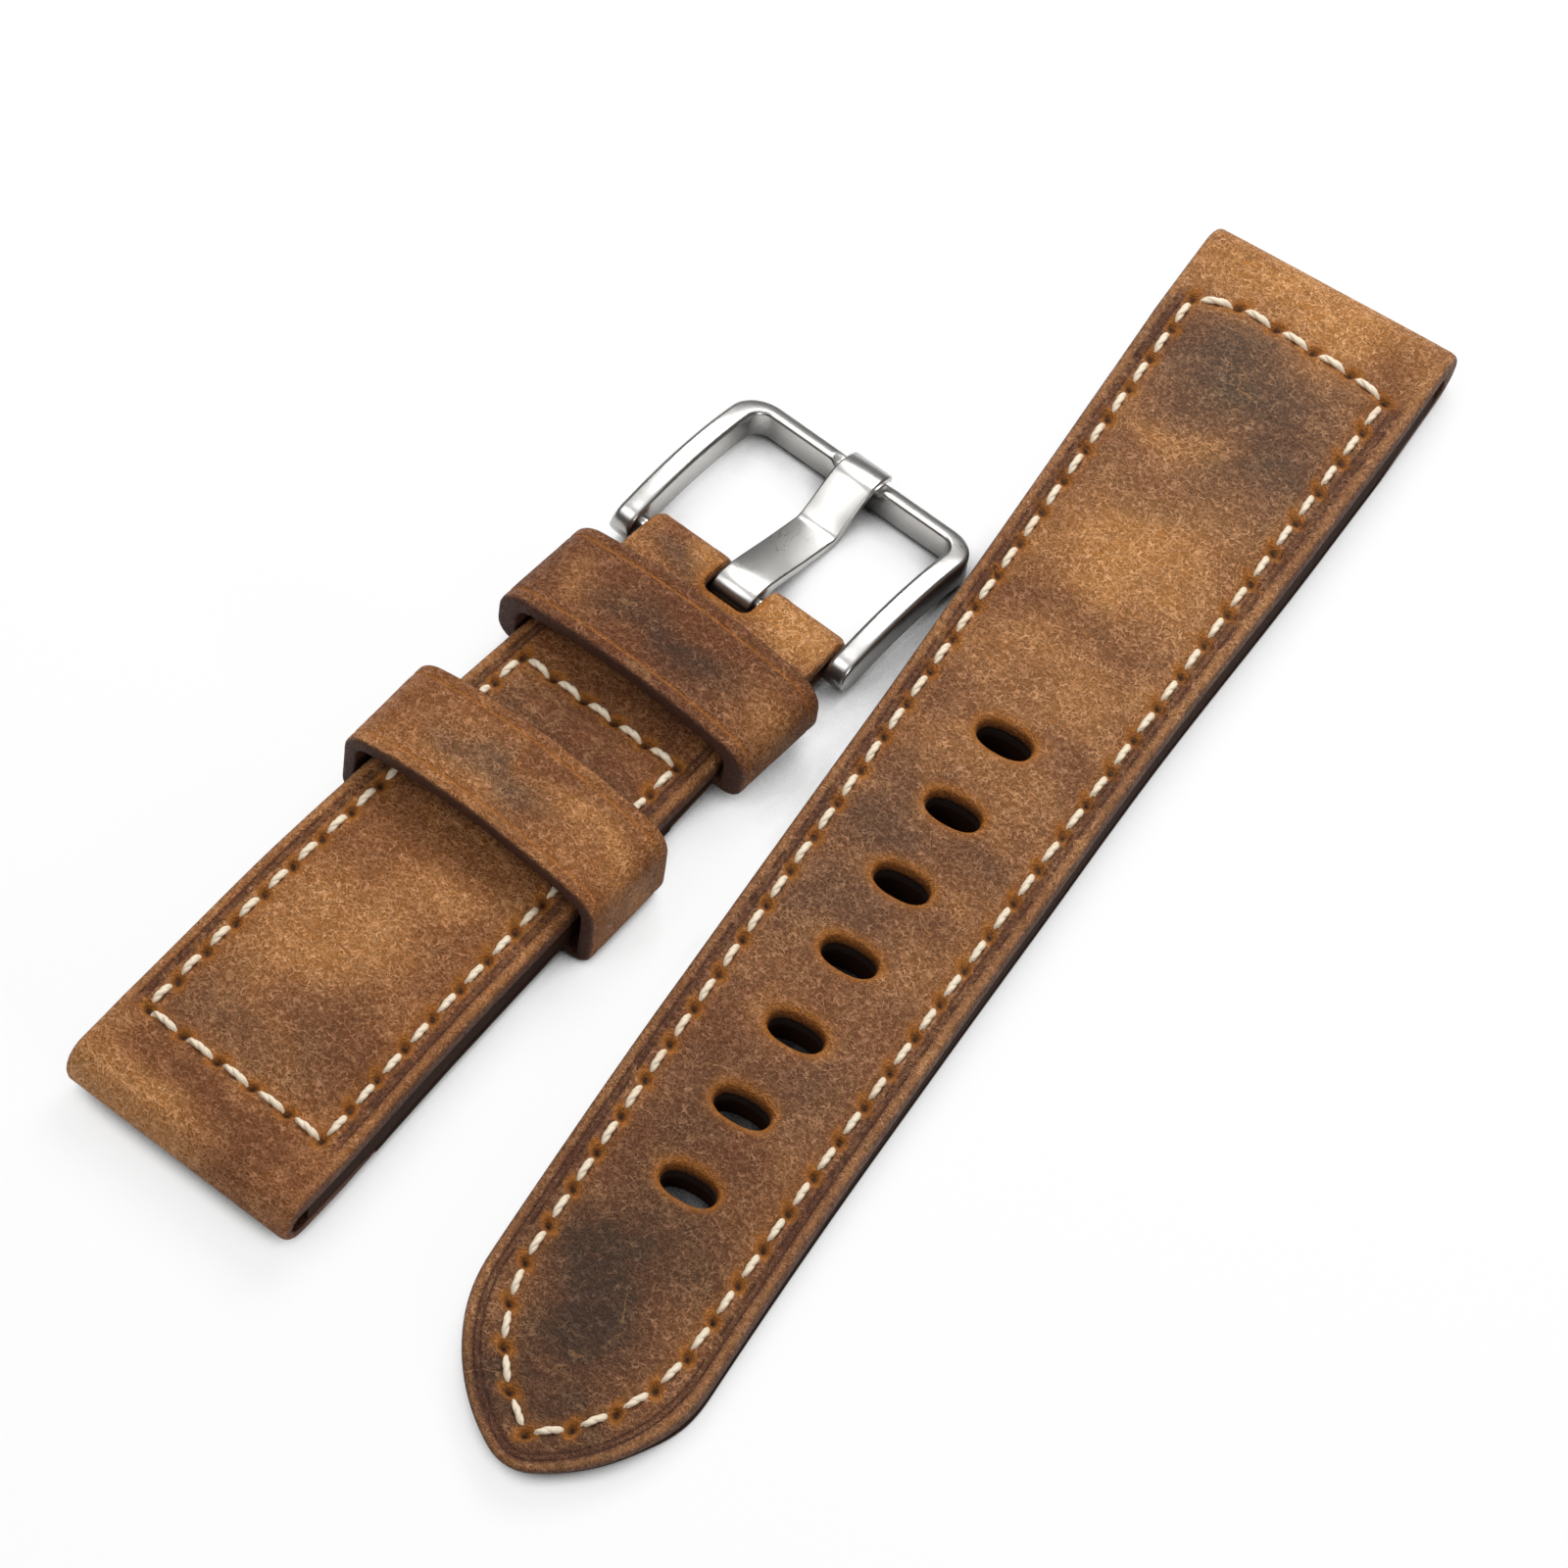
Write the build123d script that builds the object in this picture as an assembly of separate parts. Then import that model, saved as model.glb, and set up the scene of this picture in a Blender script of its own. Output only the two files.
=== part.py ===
from build123d import *
from collections import namedtuple
import math
import os

# Padded leather watch strap in two halves, lying face up side by side.
# Millimetres, +Z up. The origin is the middle of the lug bore of the buckle half,
# +X runs along that bore and +Y toward the buckle. Each half is modelled in its own
# frame first: x across, y from its lug bore toward its free end, z from its underside.

# Leather and layers
LUG_WIDTH = 23.6          # cut width at the lugs, for a 24 mm case
BORE_R = 1.0              # lug tube for the case's spring bar
LEATHER_T = 1.6           # upper leather
LINING_T = 1.0            # lining, and the skived leaf folded back from the buckle
TAPE_T = 0.3              # non-stretch tape under the padding
TAPE_INSET = 1.2          # tape edge from the stitch line
ROW_SETBACK = 5.6         # lug stitch row from the bore
LEAF_END = 9.6            # end of the leaf folded back round the lug bore
LEAF_SKIVE = 3.0          # length over which that leaf thins
FILLER_START = 0.35       # front of the wedge filler behind the bore
TAPE_START = 8.0
CROWN_START = 1.3         # padding from the lug stitch row
CROWN_EDGE = 0.9          # padding edge from the stitch line
CROWN_RISE = 5.5          # length over which the padding rises
CROWN_STEP = 12.0         # distance between cross-sections of the padding
CROWN_ROOT = 0.5          # depth of a cross-section below the rim
CROWN_LOW = 0.1           # padding height at its very ends
OVERRUN = 2.0             # how far every cutting tool runs past what it cuts
MIDWAY = 0.5              # share of an edge where its direction is read

# Long half
LONG_RIM_MID = (55.6, 4.9)        # (y, thickness) of the rim
LONG_RIM_TAPER = (105.6, 3.4)
LONG_TIP_T = 3.0
LONG_EDGE_START = 8.0             # y where the sides begin to narrow
LONG_EDGE_MID = (35.6, 11.1)      # (y, half width)
LONG_EDGE_WAIST = (55.6, 10.75)
LONG_EDGE_TAIL = (116.6, 10.4)
TIP_SIDE_R = 17.0
TIP_NOSE_R = 4.0
LONG_SEAM_START_W = 9.49          # half width of the seam at the lug row
LONG_SEAM_TAIL = (114.6, 7.6)     # (y, half width) where the seam turns into the tip
LONG_SEAM_TIP_R = 16.8
LONG_SIDE_STITCHES = 33
LONG_CROWN_LUG = 0.9              # padding height over the rim
LONG_CROWN_TAIL = 0.45
LONG_CROWN_TAIL_Y = 105.6
LONG_CROWN_END = 5.2              # end of the padding from the seam's apex
LONG_TAPE_END = 112.0
HOLE_COUNT = 7
HOLE_FIRST = 53.975
HOLE_PITCH = 8.22
HOLE_ACROSS = 5.2
HOLE_ALONG = 2.9

# Buckle half
SHORT_RIM_MID = (28.9, 4.8)
SHORT_RIM_TAPER = (52.2, 3.4)
SHORT_EDGE_END = (71.6, 9.95)
SHORT_SEAM_START_W = 9.17
SHORT_SEAM_END = (52.1, 8.14)
SHORT_SIDE_STITCHES = 13
SHORT_CROWN_LUG = 0.85
SHORT_CROWN_TAIL = 0.45
SHORT_CROWN_END = 2.0             # end of the padding from the buckle side stitch row
SHORT_TAPE_END = 50.0
SHORT_FILLER_END = 54.5
BACK_LEAF_END = 48.6              # end of the leaf folded back round the buckle bar
BAR_Y = 70.0                      # buckle bar from the lug bore
BAR_HOLE_R = 0.8
FOLD_R = 1.8                      # outside radius of the fold round the bar
FOLD_SKIVE = 4.8                  # length over which the leather thins toward the bar
SLOT_HALF_W = 2.3                 # slot for the tongue
SLOT_DEPTH = 2.0                  # slot end behind the bar

# Seams
END_STITCHES = 5                  # stitches in each cross row
THREAD_T = 0.6
THREAD_CLEAR = 0.04
AWL_W = 0.8                       # width of an awl slot
SHARP_TURN = 30.0                 # degrees: a seam corner with a leg slot each way

# Keepers
KEEPER_WIDTH = 9.8
KEEPER_T = 1.45
FREE_KEEPER_Y = 35.2
FREE_KEEPER_HALF_W = 12.9
FREE_KEEPER_CROWN = 9.5           # top of the arch over the strap's underside
FREE_KEEPER_SHOULDER = 7.6
FREE_KEEPER_LEAF = 0.85
FREE_KEEPER_GAP = 0.1             # leaf under the strap
FIXED_KEEPER_Y = 54.8
FIXED_KEEPER_HALF_W = 12.35
FIXED_KEEPER_CROWN = 8.15
FIXED_KEEPER_SHOULDER = 6.7
KEEPER_OUTER_R = 1.9              # lower corners
KEEPER_SHOULDER_R = 3.0
KEEPER_INNER_R = 0.4

# Buckle frame, measured from the bar
FRAME_HALF_W = 12.4
FRAME_INNER_HALF_W = 10.45
FRAME_REACH = 16.6
FRAME_END_R = 1.9
FRONT_BAR_T = 1.6
FRAME_TOP_MID = (7.5, 2.6)
FRAME_TOP_FRONT = 0.9
FRAME_BOTTOM_MID = (8.0, -1.0)
FRAME_BOTTOM_FRONT = -2.5
FRAME_CORNER_R = 3.0
FRAME_WINDOW_R = 1.4
FRAME_BEVEL = 0.45
LEVEL_SLOPE = 0.5                 # an edge flatter than this lies along the frame's top
NOTCH_FLOOR = 0.75                # seat of the tongue in the front bar
NOTCH_CLEAR = 0.2
PIN_HOLE_DEPTH = 1.3

# Tongue, measured from the bar
TONGUE_W = 4.0
TONGUE_T = 1.15
BARREL_R = 1.55
KINK = (10.8, -1.0)
TONGUE_SEAT_CLEAR = 0.05
TONGUE_SEAT_START = 14.9
TONGUE_TIP = (17.7, 1.2)

# Spring bar inside the buckle fold
TUBE_R = 0.75
TUBE_WALL = 0.15
TUBE_END_GAP = 0.15               # tube end from the frame arm
CRIMP_T = 0.4
PIN_TIP_R = 0.45
RUNNING_CLEAR = 0.05
PIN_TRAVEL = 1.3
PIN_TIP_CHAMFER = 0.15
PIN_SHANK = 4.5
PIN_TAIL_R = 0.25
PIN_TAIL = 1.2
SPRING_WIRE_R = 0.09
SPRING_TURNS = 18
SPRING_CLEAR = 0.03

# Where the long half lies: its bore's middle, and its heel to tip line turned from -Y
LONG_PLACE = (20.84, 125.14)
LONG_TURN = 6.746

NOSE_R = BORE_R + LEATHER_T
LUG_T = 2 * NOSE_R
STRAP_LIFT = FREE_KEEPER_LEAF + FREE_KEEPER_GAP
FLOOR_Z = -NOSE_R - STRAP_LIFT
BAR_Z = SHORT_RIM_TAPER[1] - FOLD_R
BACK_LEAF_T = LINING_T
FRAME_SLOT_R = PIN_TIP_R + RUNNING_CLEAR
TUBE_HALF = FRAME_INNER_HALF_W - TUBE_END_GAP
AWL_DEPTH = 2 * LUG_T

# The rim is an arc through lug, middle and taper point, then a line to the end.
Half = namedtuple("Half", "mid taper end_y end_z")
LONG_END_Y = LONG_EDGE_TAIL[0] + TIP_NOSE_R + math.sqrt(
    (TIP_SIDE_R - TIP_NOSE_R) ** 2 - (TIP_SIDE_R - LONG_EDGE_TAIL[1]) ** 2)
LONG = Half(LONG_RIM_MID, LONG_RIM_TAPER, LONG_END_Y, LONG_TIP_T)
SHORT = Half(SHORT_RIM_MID, SHORT_RIM_TAPER, BAR_Y, SHORT_RIM_TAPER[1])


def circle_through(a, b, c):
    """Centre and radius of the circle through three points."""
    d = 2 * (a[0] * (b[1] - c[1]) + b[0] * (c[1] - a[1]) + c[0] * (a[1] - b[1]))
    squares = [p[0] ** 2 + p[1] ** 2 for p in (a, b, c)]
    x = (squares[0] * (b[1] - c[1]) + squares[1] * (c[1] - a[1]) + squares[2] * (a[1] - b[1])) / d
    y = (squares[0] * (c[0] - b[0]) + squares[1] * (a[0] - c[0]) + squares[2] * (b[0] - a[0])) / d
    return (x, y), math.hypot(a[0] - x, a[1] - y)


def rim_z(half, y):
    """Thickness of the strap at its rim, outside the padding."""
    if y > half.taper[0]:
        share = (y - half.taper[0]) / (half.end_y - half.taper[0])
        return half.taper[1] + share * (half.end_z - half.taper[1])
    centre, radius = circle_through((0, LUG_T), half.mid, half.taper)
    return centre[1] + math.sqrt(radius ** 2 - (y - centre[0]) ** 2)


def rim_line(half, drop):
    """The rim's side view, lowered by a drop, from over the bore to the end."""
    start = (0, LUG_T - drop)
    mid = (half.mid[0], half.mid[1] - drop)
    taper = (half.taper[0], half.taper[1] - drop)
    end = (half.end_y, half.end_z - drop)
    return [ThreePointArc(start, mid, taper), Line(taper, end)]


def across(edges):
    """A side view made solid over the full width."""
    return extrude(Plane.YZ * Face(Wire(edges)), LUG_WIDTH, both=True)


def layer(half, top_drop, bottom_drop):
    """What lies between two copies of the rim line."""
    top = rim_line(half, top_drop)
    bottom = rim_line(half, bottom_drop)
    heel = Line((0, LUG_T - bottom_drop), (0, LUG_T - top_drop))
    toe = Line((half.end_y, half.end_z - top_drop), (half.end_y, half.end_z - bottom_drop))
    return across([heel] + top + [toe] + bottom)


def under_rim(half, drop, start):
    """All that lies under the lowered rim line, from a start to the end."""
    low = -OVERRUN
    heel = Line((0, low), (0, LUG_T - drop))
    toe = Line((half.end_y, half.end_z - drop), (half.end_y, low))
    block = across([heel] + rim_line(half, drop) + [toe, Line((half.end_y, low), (0, low))])
    return block - slab(-OVERRUN, start, low, LUG_T)


def slab(y_from, y_to, z_from, z_to):
    """A full width block between two distances and two heights."""
    size = (2 * LUG_WIDTH, y_to - y_from, z_to - z_from)
    return Pos(0, (y_from + y_to) / 2, (z_from + z_to) / 2) * Box(*size)


def tip_points():
    """Points of the tip's right side: middle of its side arc, and where the nose begins."""
    centre = (LONG_EDGE_TAIL[1] - TIP_SIDE_R, LONG_EDGE_TAIL[0])
    nose_y = LONG_END_Y - TIP_NOSE_R
    turn = math.atan2(nose_y - centre[1], -centre[0])
    points = []
    for angle in (turn / 2, turn):
        points.append((centre[0] + TIP_SIDE_R * math.cos(angle), centre[1] + TIP_SIDE_R * math.sin(angle)))
    return points


def mirrored(point):
    return (-point[0], point[1])


def long_outline():
    """Plan of the long half: lug end, narrowing sides, pointed tip."""
    heel = -NOSE_R - OVERRUN
    w = LUG_WIDTH / 2
    corner = (w, heel)
    begin = (w, LONG_EDGE_START)
    mid = LONG_EDGE_MID[::-1]
    waist = LONG_EDGE_WAIST[::-1]
    tail = LONG_EDGE_TAIL[::-1]
    arc_mid, nose = tip_points()
    right = [Line(corner, begin), ThreePointArc(begin, mid, waist), Line(waist, tail),
             ThreePointArc(tail, arc_mid, nose)]
    tip = ThreePointArc(nose, (0, LONG_END_Y), mirrored(nose))
    left = [ThreePointArc(mirrored(nose), mirrored(arc_mid), mirrored(tail)),
            Line(mirrored(tail), mirrored(waist)),
            ThreePointArc(mirrored(waist), mirrored(mid), mirrored(begin)),
            Line(mirrored(begin), mirrored(corner))]
    plan = Face(Wire(right + [tip] + left + [Line(mirrored(corner), corner)]))
    return extrude(Pos(0, 0, -OVERRUN) * plan, LUG_T + 2 * OVERRUN)


def short_outline():
    """Plan of the buckle half: a taper from the lugs to the buckle."""
    w = LUG_WIDTH / 2
    end_y, end_w = SHORT_EDGE_END
    run = BAR_Y + FOLD_R + OVERRUN
    slope = (w - end_w) / (end_y - ROW_SETBACK)
    far_w = w - slope * (run - ROW_SETBACK)
    heel = -NOSE_R - OVERRUN
    points = [(w, heel), (w, ROW_SETBACK), (far_w, run), (-far_w, run), (-w, ROW_SETBACK), (-w, heel)]
    plan = Face(Wire.make_polygon(points, close=True))
    return extrude(Pos(0, 0, -OVERRUN) * plan, LUG_T + 2 * OVERRUN)


def heel_leaf():
    """Inside line of the leather from over the bore, round it, to the folded leaf's end."""
    low, high = LEATHER_T, LUG_T - LEATHER_T
    return [ThreePointArc((0, high), (-BORE_R, NOSE_R), (0, low)),
            Line((0, low), (LEAF_END - LEAF_SKIVE, low)),
            Line((LEAF_END - LEAF_SKIVE, low), (LEAF_END, LINING_T)),
            Line((LEAF_END, LINING_T), (LEAF_END, 0)),
            Line((LEAF_END, 0), (0, 0)),
            ThreePointArc((0, 0), (-NOSE_R, NOSE_R), (0, LUG_T))]


def long_wrap():
    """Upper leather of the long half before padding: it starts under the lug and runs to the tip."""
    toe = Line((LONG.end_y, LONG.end_z), (LONG.end_y, LONG.end_z - LEATHER_T))
    return across(rim_line(LONG, 0) + [toe] + rim_line(LONG, LEATHER_T) + heel_leaf())


def short_wrap():
    """Upper leather of the buckle half before padding: round the lug bore and the buckle bar."""
    top = SHORT.end_z
    skive_y = BAR_Y - FOLD_SKIVE
    inner = top - LEATHER_T
    inside = rim_line(SHORT, LEATHER_T)[0]
    fold = [ThreePointArc((BAR_Y, top), (BAR_Y + FOLD_R, BAR_Z), (BAR_Y, BAR_Z - FOLD_R)),
            Line((BAR_Y, BAR_Z - FOLD_R), (skive_y, 0)),
            Line((skive_y, 0), (BACK_LEAF_END, 0)),
            Line((BACK_LEAF_END, 0), (BACK_LEAF_END, BACK_LEAF_T)),
            Line((BACK_LEAF_END, BACK_LEAF_T), (skive_y, BACK_LEAF_T)),
            Line((skive_y, BACK_LEAF_T), (BAR_Y, BAR_Z - BAR_HOLE_R)),
            ThreePointArc((BAR_Y, BAR_Z - BAR_HOLE_R), (BAR_Y + BAR_HOLE_R, BAR_Z), (BAR_Y, BAR_Z + BAR_HOLE_R)),
            Line((BAR_Y, BAR_Z + BAR_HOLE_R), (skive_y, inner)),
            Line((skive_y, inner), (SHORT.taper[0], inner))]
    return across(rim_line(SHORT, 0) + fold + [inside] + heel_leaf())


def crown_section(y, half_w, base, rise):
    """One cross-section of the padded dome."""
    foot = base - CROWN_ROOT
    edges = [Line((-half_w, foot), (half_w, foot)), Line((half_w, foot), (half_w, base)),
             ThreePointArc((half_w, base), (0, base + rise), (-half_w, base)),
             Line((-half_w, base), (-half_w, foot))]
    return Plane.XZ.offset(-y) * Face(Wire(edges))


def stations(start, end):
    """Evenly spaced distances from start to end, about one step apart."""
    count = max(2, round((end - start) / CROWN_STEP))
    return [start + (end - start) * k / count for k in range(count + 1)]


def long_crown_height(y):
    """Padding height over the rim of the long half."""
    share = (y - ROW_SETBACK) / (LONG_CROWN_TAIL_Y - ROW_SETBACK)
    return LONG_CROWN_LUG + (LONG_CROWN_TAIL - LONG_CROWN_LUG) * min(share, 1)


def long_seam_width(y):
    """Half width of the seam of the long half at a distance from the bore."""
    tail_y, tail_w = LONG_SEAM_TAIL
    if y > tail_y:
        return tail_w - LONG_SEAM_TIP_R + math.sqrt(LONG_SEAM_TIP_R ** 2 - (y - tail_y) ** 2)
    share = (y - ROW_SETBACK) / (tail_y - ROW_SETBACK)
    return LONG_SEAM_START_W + (tail_w - LONG_SEAM_START_W) * share


def short_seam_width(y):
    """Half width of the seam of the buckle half."""
    end_y, end_w = SHORT_SEAM_END
    share = (y - ROW_SETBACK) / (end_y - ROW_SETBACK)
    return SHORT_SEAM_START_W + (end_w - SHORT_SEAM_START_W) * share


def seam_apex():
    """Where the long half's seam meets itself at the tip."""
    tail_y, tail_w = LONG_SEAM_TAIL
    return tail_y + math.sqrt(LONG_SEAM_TIP_R ** 2 - (LONG_SEAM_TIP_R - tail_w) ** 2)


def long_crown():
    """The padded dome of the long half, as seen from outside."""
    start = ROW_SETBACK + CROWN_START
    full = start + CROWN_RISE
    end = seam_apex() - LONG_CROWN_END
    tail = LONG_SEAM_TAIL[0]
    places = [start] + stations(full, tail) + [(tail + end) / 2, end]
    sections = []
    for y in places:
        rise = CROWN_LOW if y in (start, end) else long_crown_height(y)
        sections.append(crown_section(y, long_seam_width(y) - CROWN_EDGE, rim_z(LONG, y), rise))
    return loft(sections, ruled=True)


def short_crown():
    """The padded dome of the buckle half, as seen from outside."""
    start = ROW_SETBACK + CROWN_START
    full = start + CROWN_RISE
    end = SHORT_SEAM_END[0] - SHORT_CROWN_END
    places = [start] + stations(full, end - CROWN_RISE) + [end]
    sections = []
    for y in places:
        share = (y - full) / (end - full)
        rise = SHORT_CROWN_LUG + (SHORT_CROWN_TAIL - SHORT_CROWN_LUG) * share
        rise = CROWN_LOW if y in (start, end) else rise
        sections.append(crown_section(y, short_seam_width(y) - CROWN_EDGE, rim_z(SHORT, y), rise))
    return loft(sections, ruled=True)


def long_side_holes():
    """Awl holes of one side of the long half, evenly spaced from the lug row to the apex."""
    tail_y, tail_w = LONG_SEAM_TAIL
    straight = math.hypot(tail_y - ROW_SETBACK, LONG_SEAM_START_W - tail_w)
    turn = math.acos((LONG_SEAM_TIP_R - tail_w) / LONG_SEAM_TIP_R)
    pitch = (straight + LONG_SEAM_TIP_R * turn) / LONG_SIDE_STITCHES
    holes = []
    for k in range(LONG_SIDE_STITCHES + 1):
        run = pitch * k
        if run <= straight:
            y = ROW_SETBACK + (tail_y - ROW_SETBACK) * run / straight
            holes.append((long_seam_width(y), y))
        else:
            angle = (run - straight) / LONG_SEAM_TIP_R
            holes.append((tail_w - LONG_SEAM_TIP_R * (1 - math.cos(angle)),
                          tail_y + LONG_SEAM_TIP_R * math.sin(angle)))
    return holes


def row_between(a, b, count):
    """Holes of a straight row of so many stitches, both ends included."""
    return [(a[0] + (b[0] - a[0]) * k / count, a[1] + (b[1] - a[1]) * k / count) for k in range(count + 1)]


def long_seam():
    """All holes of the long half in sewing order, as a closed round."""
    right = long_side_holes()
    left = [mirrored(p) for p in right[-2::-1]]
    heel = row_between(left[-1], right[0], END_STITCHES)
    return right + left + heel[1:-1]


def short_seam():
    """All holes of the buckle half in sewing order, as a closed round."""
    start = (SHORT_SEAM_START_W, ROW_SETBACK)
    end = SHORT_SEAM_END[::-1]
    right = row_between(start, end, SHORT_SIDE_STITCHES)
    left = row_between(mirrored(end), mirrored(start), SHORT_SIDE_STITCHES)
    return (right + row_between(right[-1], left[0], END_STITCHES)[1:-1]
            + left + row_between(left[-1], right[0], END_STITCHES)[1:-1])


def heading(a, b):
    return math.degrees(math.atan2(b[1] - a[1], b[0] - a[0]))


def seam_turns(holes):
    """How far the seam turns at each hole, in degrees."""
    turns = []
    for k, hole in enumerate(holes):
        before = heading(holes[k - 1], hole)
        after = heading(hole, holes[(k + 1) % len(holes)])
        turns.append(abs((after - before + 180) % 360 - 180))
    return turns


def leg_setback(turn):
    """Distance of a thread leg's near face from the hole's middle, so that two legs fit side by side."""
    return THREAD_CLEAR + THREAD_T / 2 * math.tan(math.radians(turn / 2))


def upright_plane(a, b):
    """A plane on the seam from a to b, with its y axis up."""
    length = math.hypot(b[0] - a[0], b[1] - a[1])
    ahead = ((b[0] - a[0]) / length, (b[1] - a[1]) / length)
    return Plane(origin=(a[0], a[1], 0), x_dir=(ahead[0], ahead[1], 0), z_dir=(ahead[1], -ahead[0], 0))


def seam_box(a, b, start, end, width, low, high):
    """A box along the seam line from a to b, between two distances from a."""
    face = Pos((start + end) / 2, (low + high) / 2) * Rectangle(end - start, high - low)
    return extrude(upright_plane(a, b) * face, width / 2, both=True)


def stitch(half, a, b, turn_a, turn_b):
    """One closed stitch: a dash on top, a leg down each hole and a dash in the lining's groove."""
    length = math.hypot(b[0] - a[0], b[1] - a[1])
    start = leg_setback(turn_a)
    end = length - leg_setback(turn_b)
    low = THREAD_CLEAR
    inner_start, inner_end = start + THREAD_T, end - THREAD_T
    fall = (rim_z(half, b[1]) - rim_z(half, a[1])) / length
    rim = rim_z(half, a[1]) + THREAD_CLEAR
    outer = Face(Wire.make_polygon([(start, low), (end, low), (end, rim + fall * end + THREAD_T),
                                    (start, rim + fall * start + THREAD_T)], close=True))
    inner = Face(Wire.make_polygon([(inner_start, low + THREAD_T), (inner_end, low + THREAD_T),
                                    (inner_end, rim + fall * inner_end), (inner_start, rim + fall * inner_start)],
                                   close=True))
    return extrude(upright_plane(a, b) * (outer - inner), THREAD_T / 2, both=True)


def stitches(half, holes):
    """Every stitch of a seam, as separate solids."""
    turns = seam_turns(holes)
    loops = []
    for k, hole in enumerate(holes):
        after = (k + 1) % len(holes)
        loops.append(stitch(half, hole, holes[after], turns[k], turns[after]).solid())
    return Compound(loops)


def awl_slots(holes):
    """The slot of each hole through all layers, wide enough for two thread legs."""
    turns = seam_turns(holes)
    slots = []
    for k, hole in enumerate(holes):
        before, after = holes[k - 1], holes[(k + 1) % len(holes)]
        reach = leg_setback(turns[k]) + THREAD_T + THREAD_CLEAR
        if turns[k] > SHARP_TURN:
            corner = seam_box(hole, before, 0, reach, AWL_W, -OVERRUN, AWL_DEPTH)
            slots.append(corner + seam_box(hole, after, 0, reach, AWL_W, -OVERRUN, AWL_DEPTH))
        else:
            ahead = (hole[0] + after[0] - before[0], hole[1] + after[1] - before[1])
            slots.append(seam_box(hole, ahead, -reach, reach, AWL_W, -OVERRUN, AWL_DEPTH))
    return slots


def thread_grooves(holes):
    """The grooves that the lower dashes lie in."""
    depth = THREAD_T + 2 * THREAD_CLEAR
    grooves = []
    for k, hole in enumerate(holes):
        after = holes[(k + 1) % len(holes)]
        length = math.hypot(after[0] - hole[0], after[1] - hole[1])
        grooves.append(seam_box(hole, after, 0, length, AWL_W, -OVERRUN, depth))
    return grooves


def oval_holes():
    """The seven holes for the tongue."""
    straight = HOLE_ACROSS - HOLE_ALONG
    holes = []
    for k in range(HOLE_COUNT):
        plan = Pos(0, HOLE_FIRST + HOLE_PITCH * k, -OVERRUN) * SlotCenterToCenter(straight, HOLE_ALONG)
        holes.append(extrude(plan, LUG_T + 2 * OVERRUN + LONG_CROWN_LUG))
    return holes


def tongue_slot():
    """The slot in the fold where the tongue's barrel sits on the bar."""
    length = SLOT_DEPTH + FOLD_R + OVERRUN
    block = Box(2 * SLOT_HALF_W, length, AWL_DEPTH)
    return Pos(0, BAR_Y - SLOT_DEPTH + length / 2, 0) * block


def tape_plan(width_at, start, end):
    """Plan of the tape between the seams."""
    w0 = width_at(start) - TAPE_INSET
    w1 = width_at(end) - TAPE_INSET
    plan = Face(Wire.make_polygon([(w0, start), (w1, end), (-w1, end), (-w0, start)], close=True))
    return extrude(Pos(0, 0, -OVERRUN) * plan, LUG_T + 2 * OVERRUN)


def lug_bore():
    return Pos(0, 0, NOSE_R) * Rot(0, 90, 0) * Cylinder(BORE_R, 2 * LUG_WIDTH)


def long_layers():
    """The six pieces of the long half, in its own frame."""
    outline = long_outline()
    crown = long_crown()
    lowered = Pos(0, 0, -LEATHER_T) * crown
    holes = long_seam()
    slots, grooves, ovals = awl_slots(holes), thread_grooves(holes), oval_holes()
    wrap = long_wrap()
    lining = slab(LEAF_END, LONG.end_y, 0, LINING_T)
    tape = layer(LONG, LEATHER_T, LEATHER_T + TAPE_T) & tape_plan(long_seam_width, TAPE_START, LONG_TAPE_END)
    filler = under_rim(LONG, LEATHER_T, FILLER_START) - wrap - slab(LEAF_END, LONG.end_y, -OVERRUN, LINING_T)
    filler = (filler - tape - lug_bore()) & outline & slab(0, LONG.end_y, 0, LUG_T)
    padding = lowered - under_rim(LONG, LEATHER_T, 0)
    upper = ((wrap + crown) - lowered) & outline
    return {
        "long_top_leather": upper - slots - grooves - ovals,
        "long_padding": padding - ovals,
        "long_reinforcement": tape - ovals,
        "long_filler": filler - slots - ovals,
        "long_lining": (lining & outline) - slots - grooves - ovals,
        "long_stitching": stitches(LONG, holes),
    }


def short_layers():
    """The six pieces of the buckle half, in its own frame."""
    outline = short_outline()
    crown = short_crown()
    lowered = Pos(0, 0, -LEATHER_T) * crown
    holes = short_seam()
    slots, grooves = awl_slots(holes), thread_grooves(holes)
    wrap = short_wrap()
    lining = slab(LEAF_END, BACK_LEAF_END, 0, LINING_T)
    tape = layer(SHORT, LEATHER_T, LEATHER_T + TAPE_T) & tape_plan(short_seam_width, TAPE_START, SHORT_TAPE_END)
    filler = under_rim(SHORT, LEATHER_T, FILLER_START) & slab(0, SHORT_FILLER_END, 0, LUG_T)
    filler = (filler - wrap - lining - tape - lug_bore()) & outline
    padding = lowered - under_rim(SHORT, LEATHER_T, 0)
    upper = ((wrap + crown) - lowered) & outline
    return {
        "short_top_leather": upper - slots - grooves - tongue_slot(),
        "short_padding": padding,
        "short_reinforcement": tape,
        "short_filler": filler - slots,
        "short_lining": (lining & outline) - slots - grooves,
        "short_stitching": stitches(SHORT, holes),
    }


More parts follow.
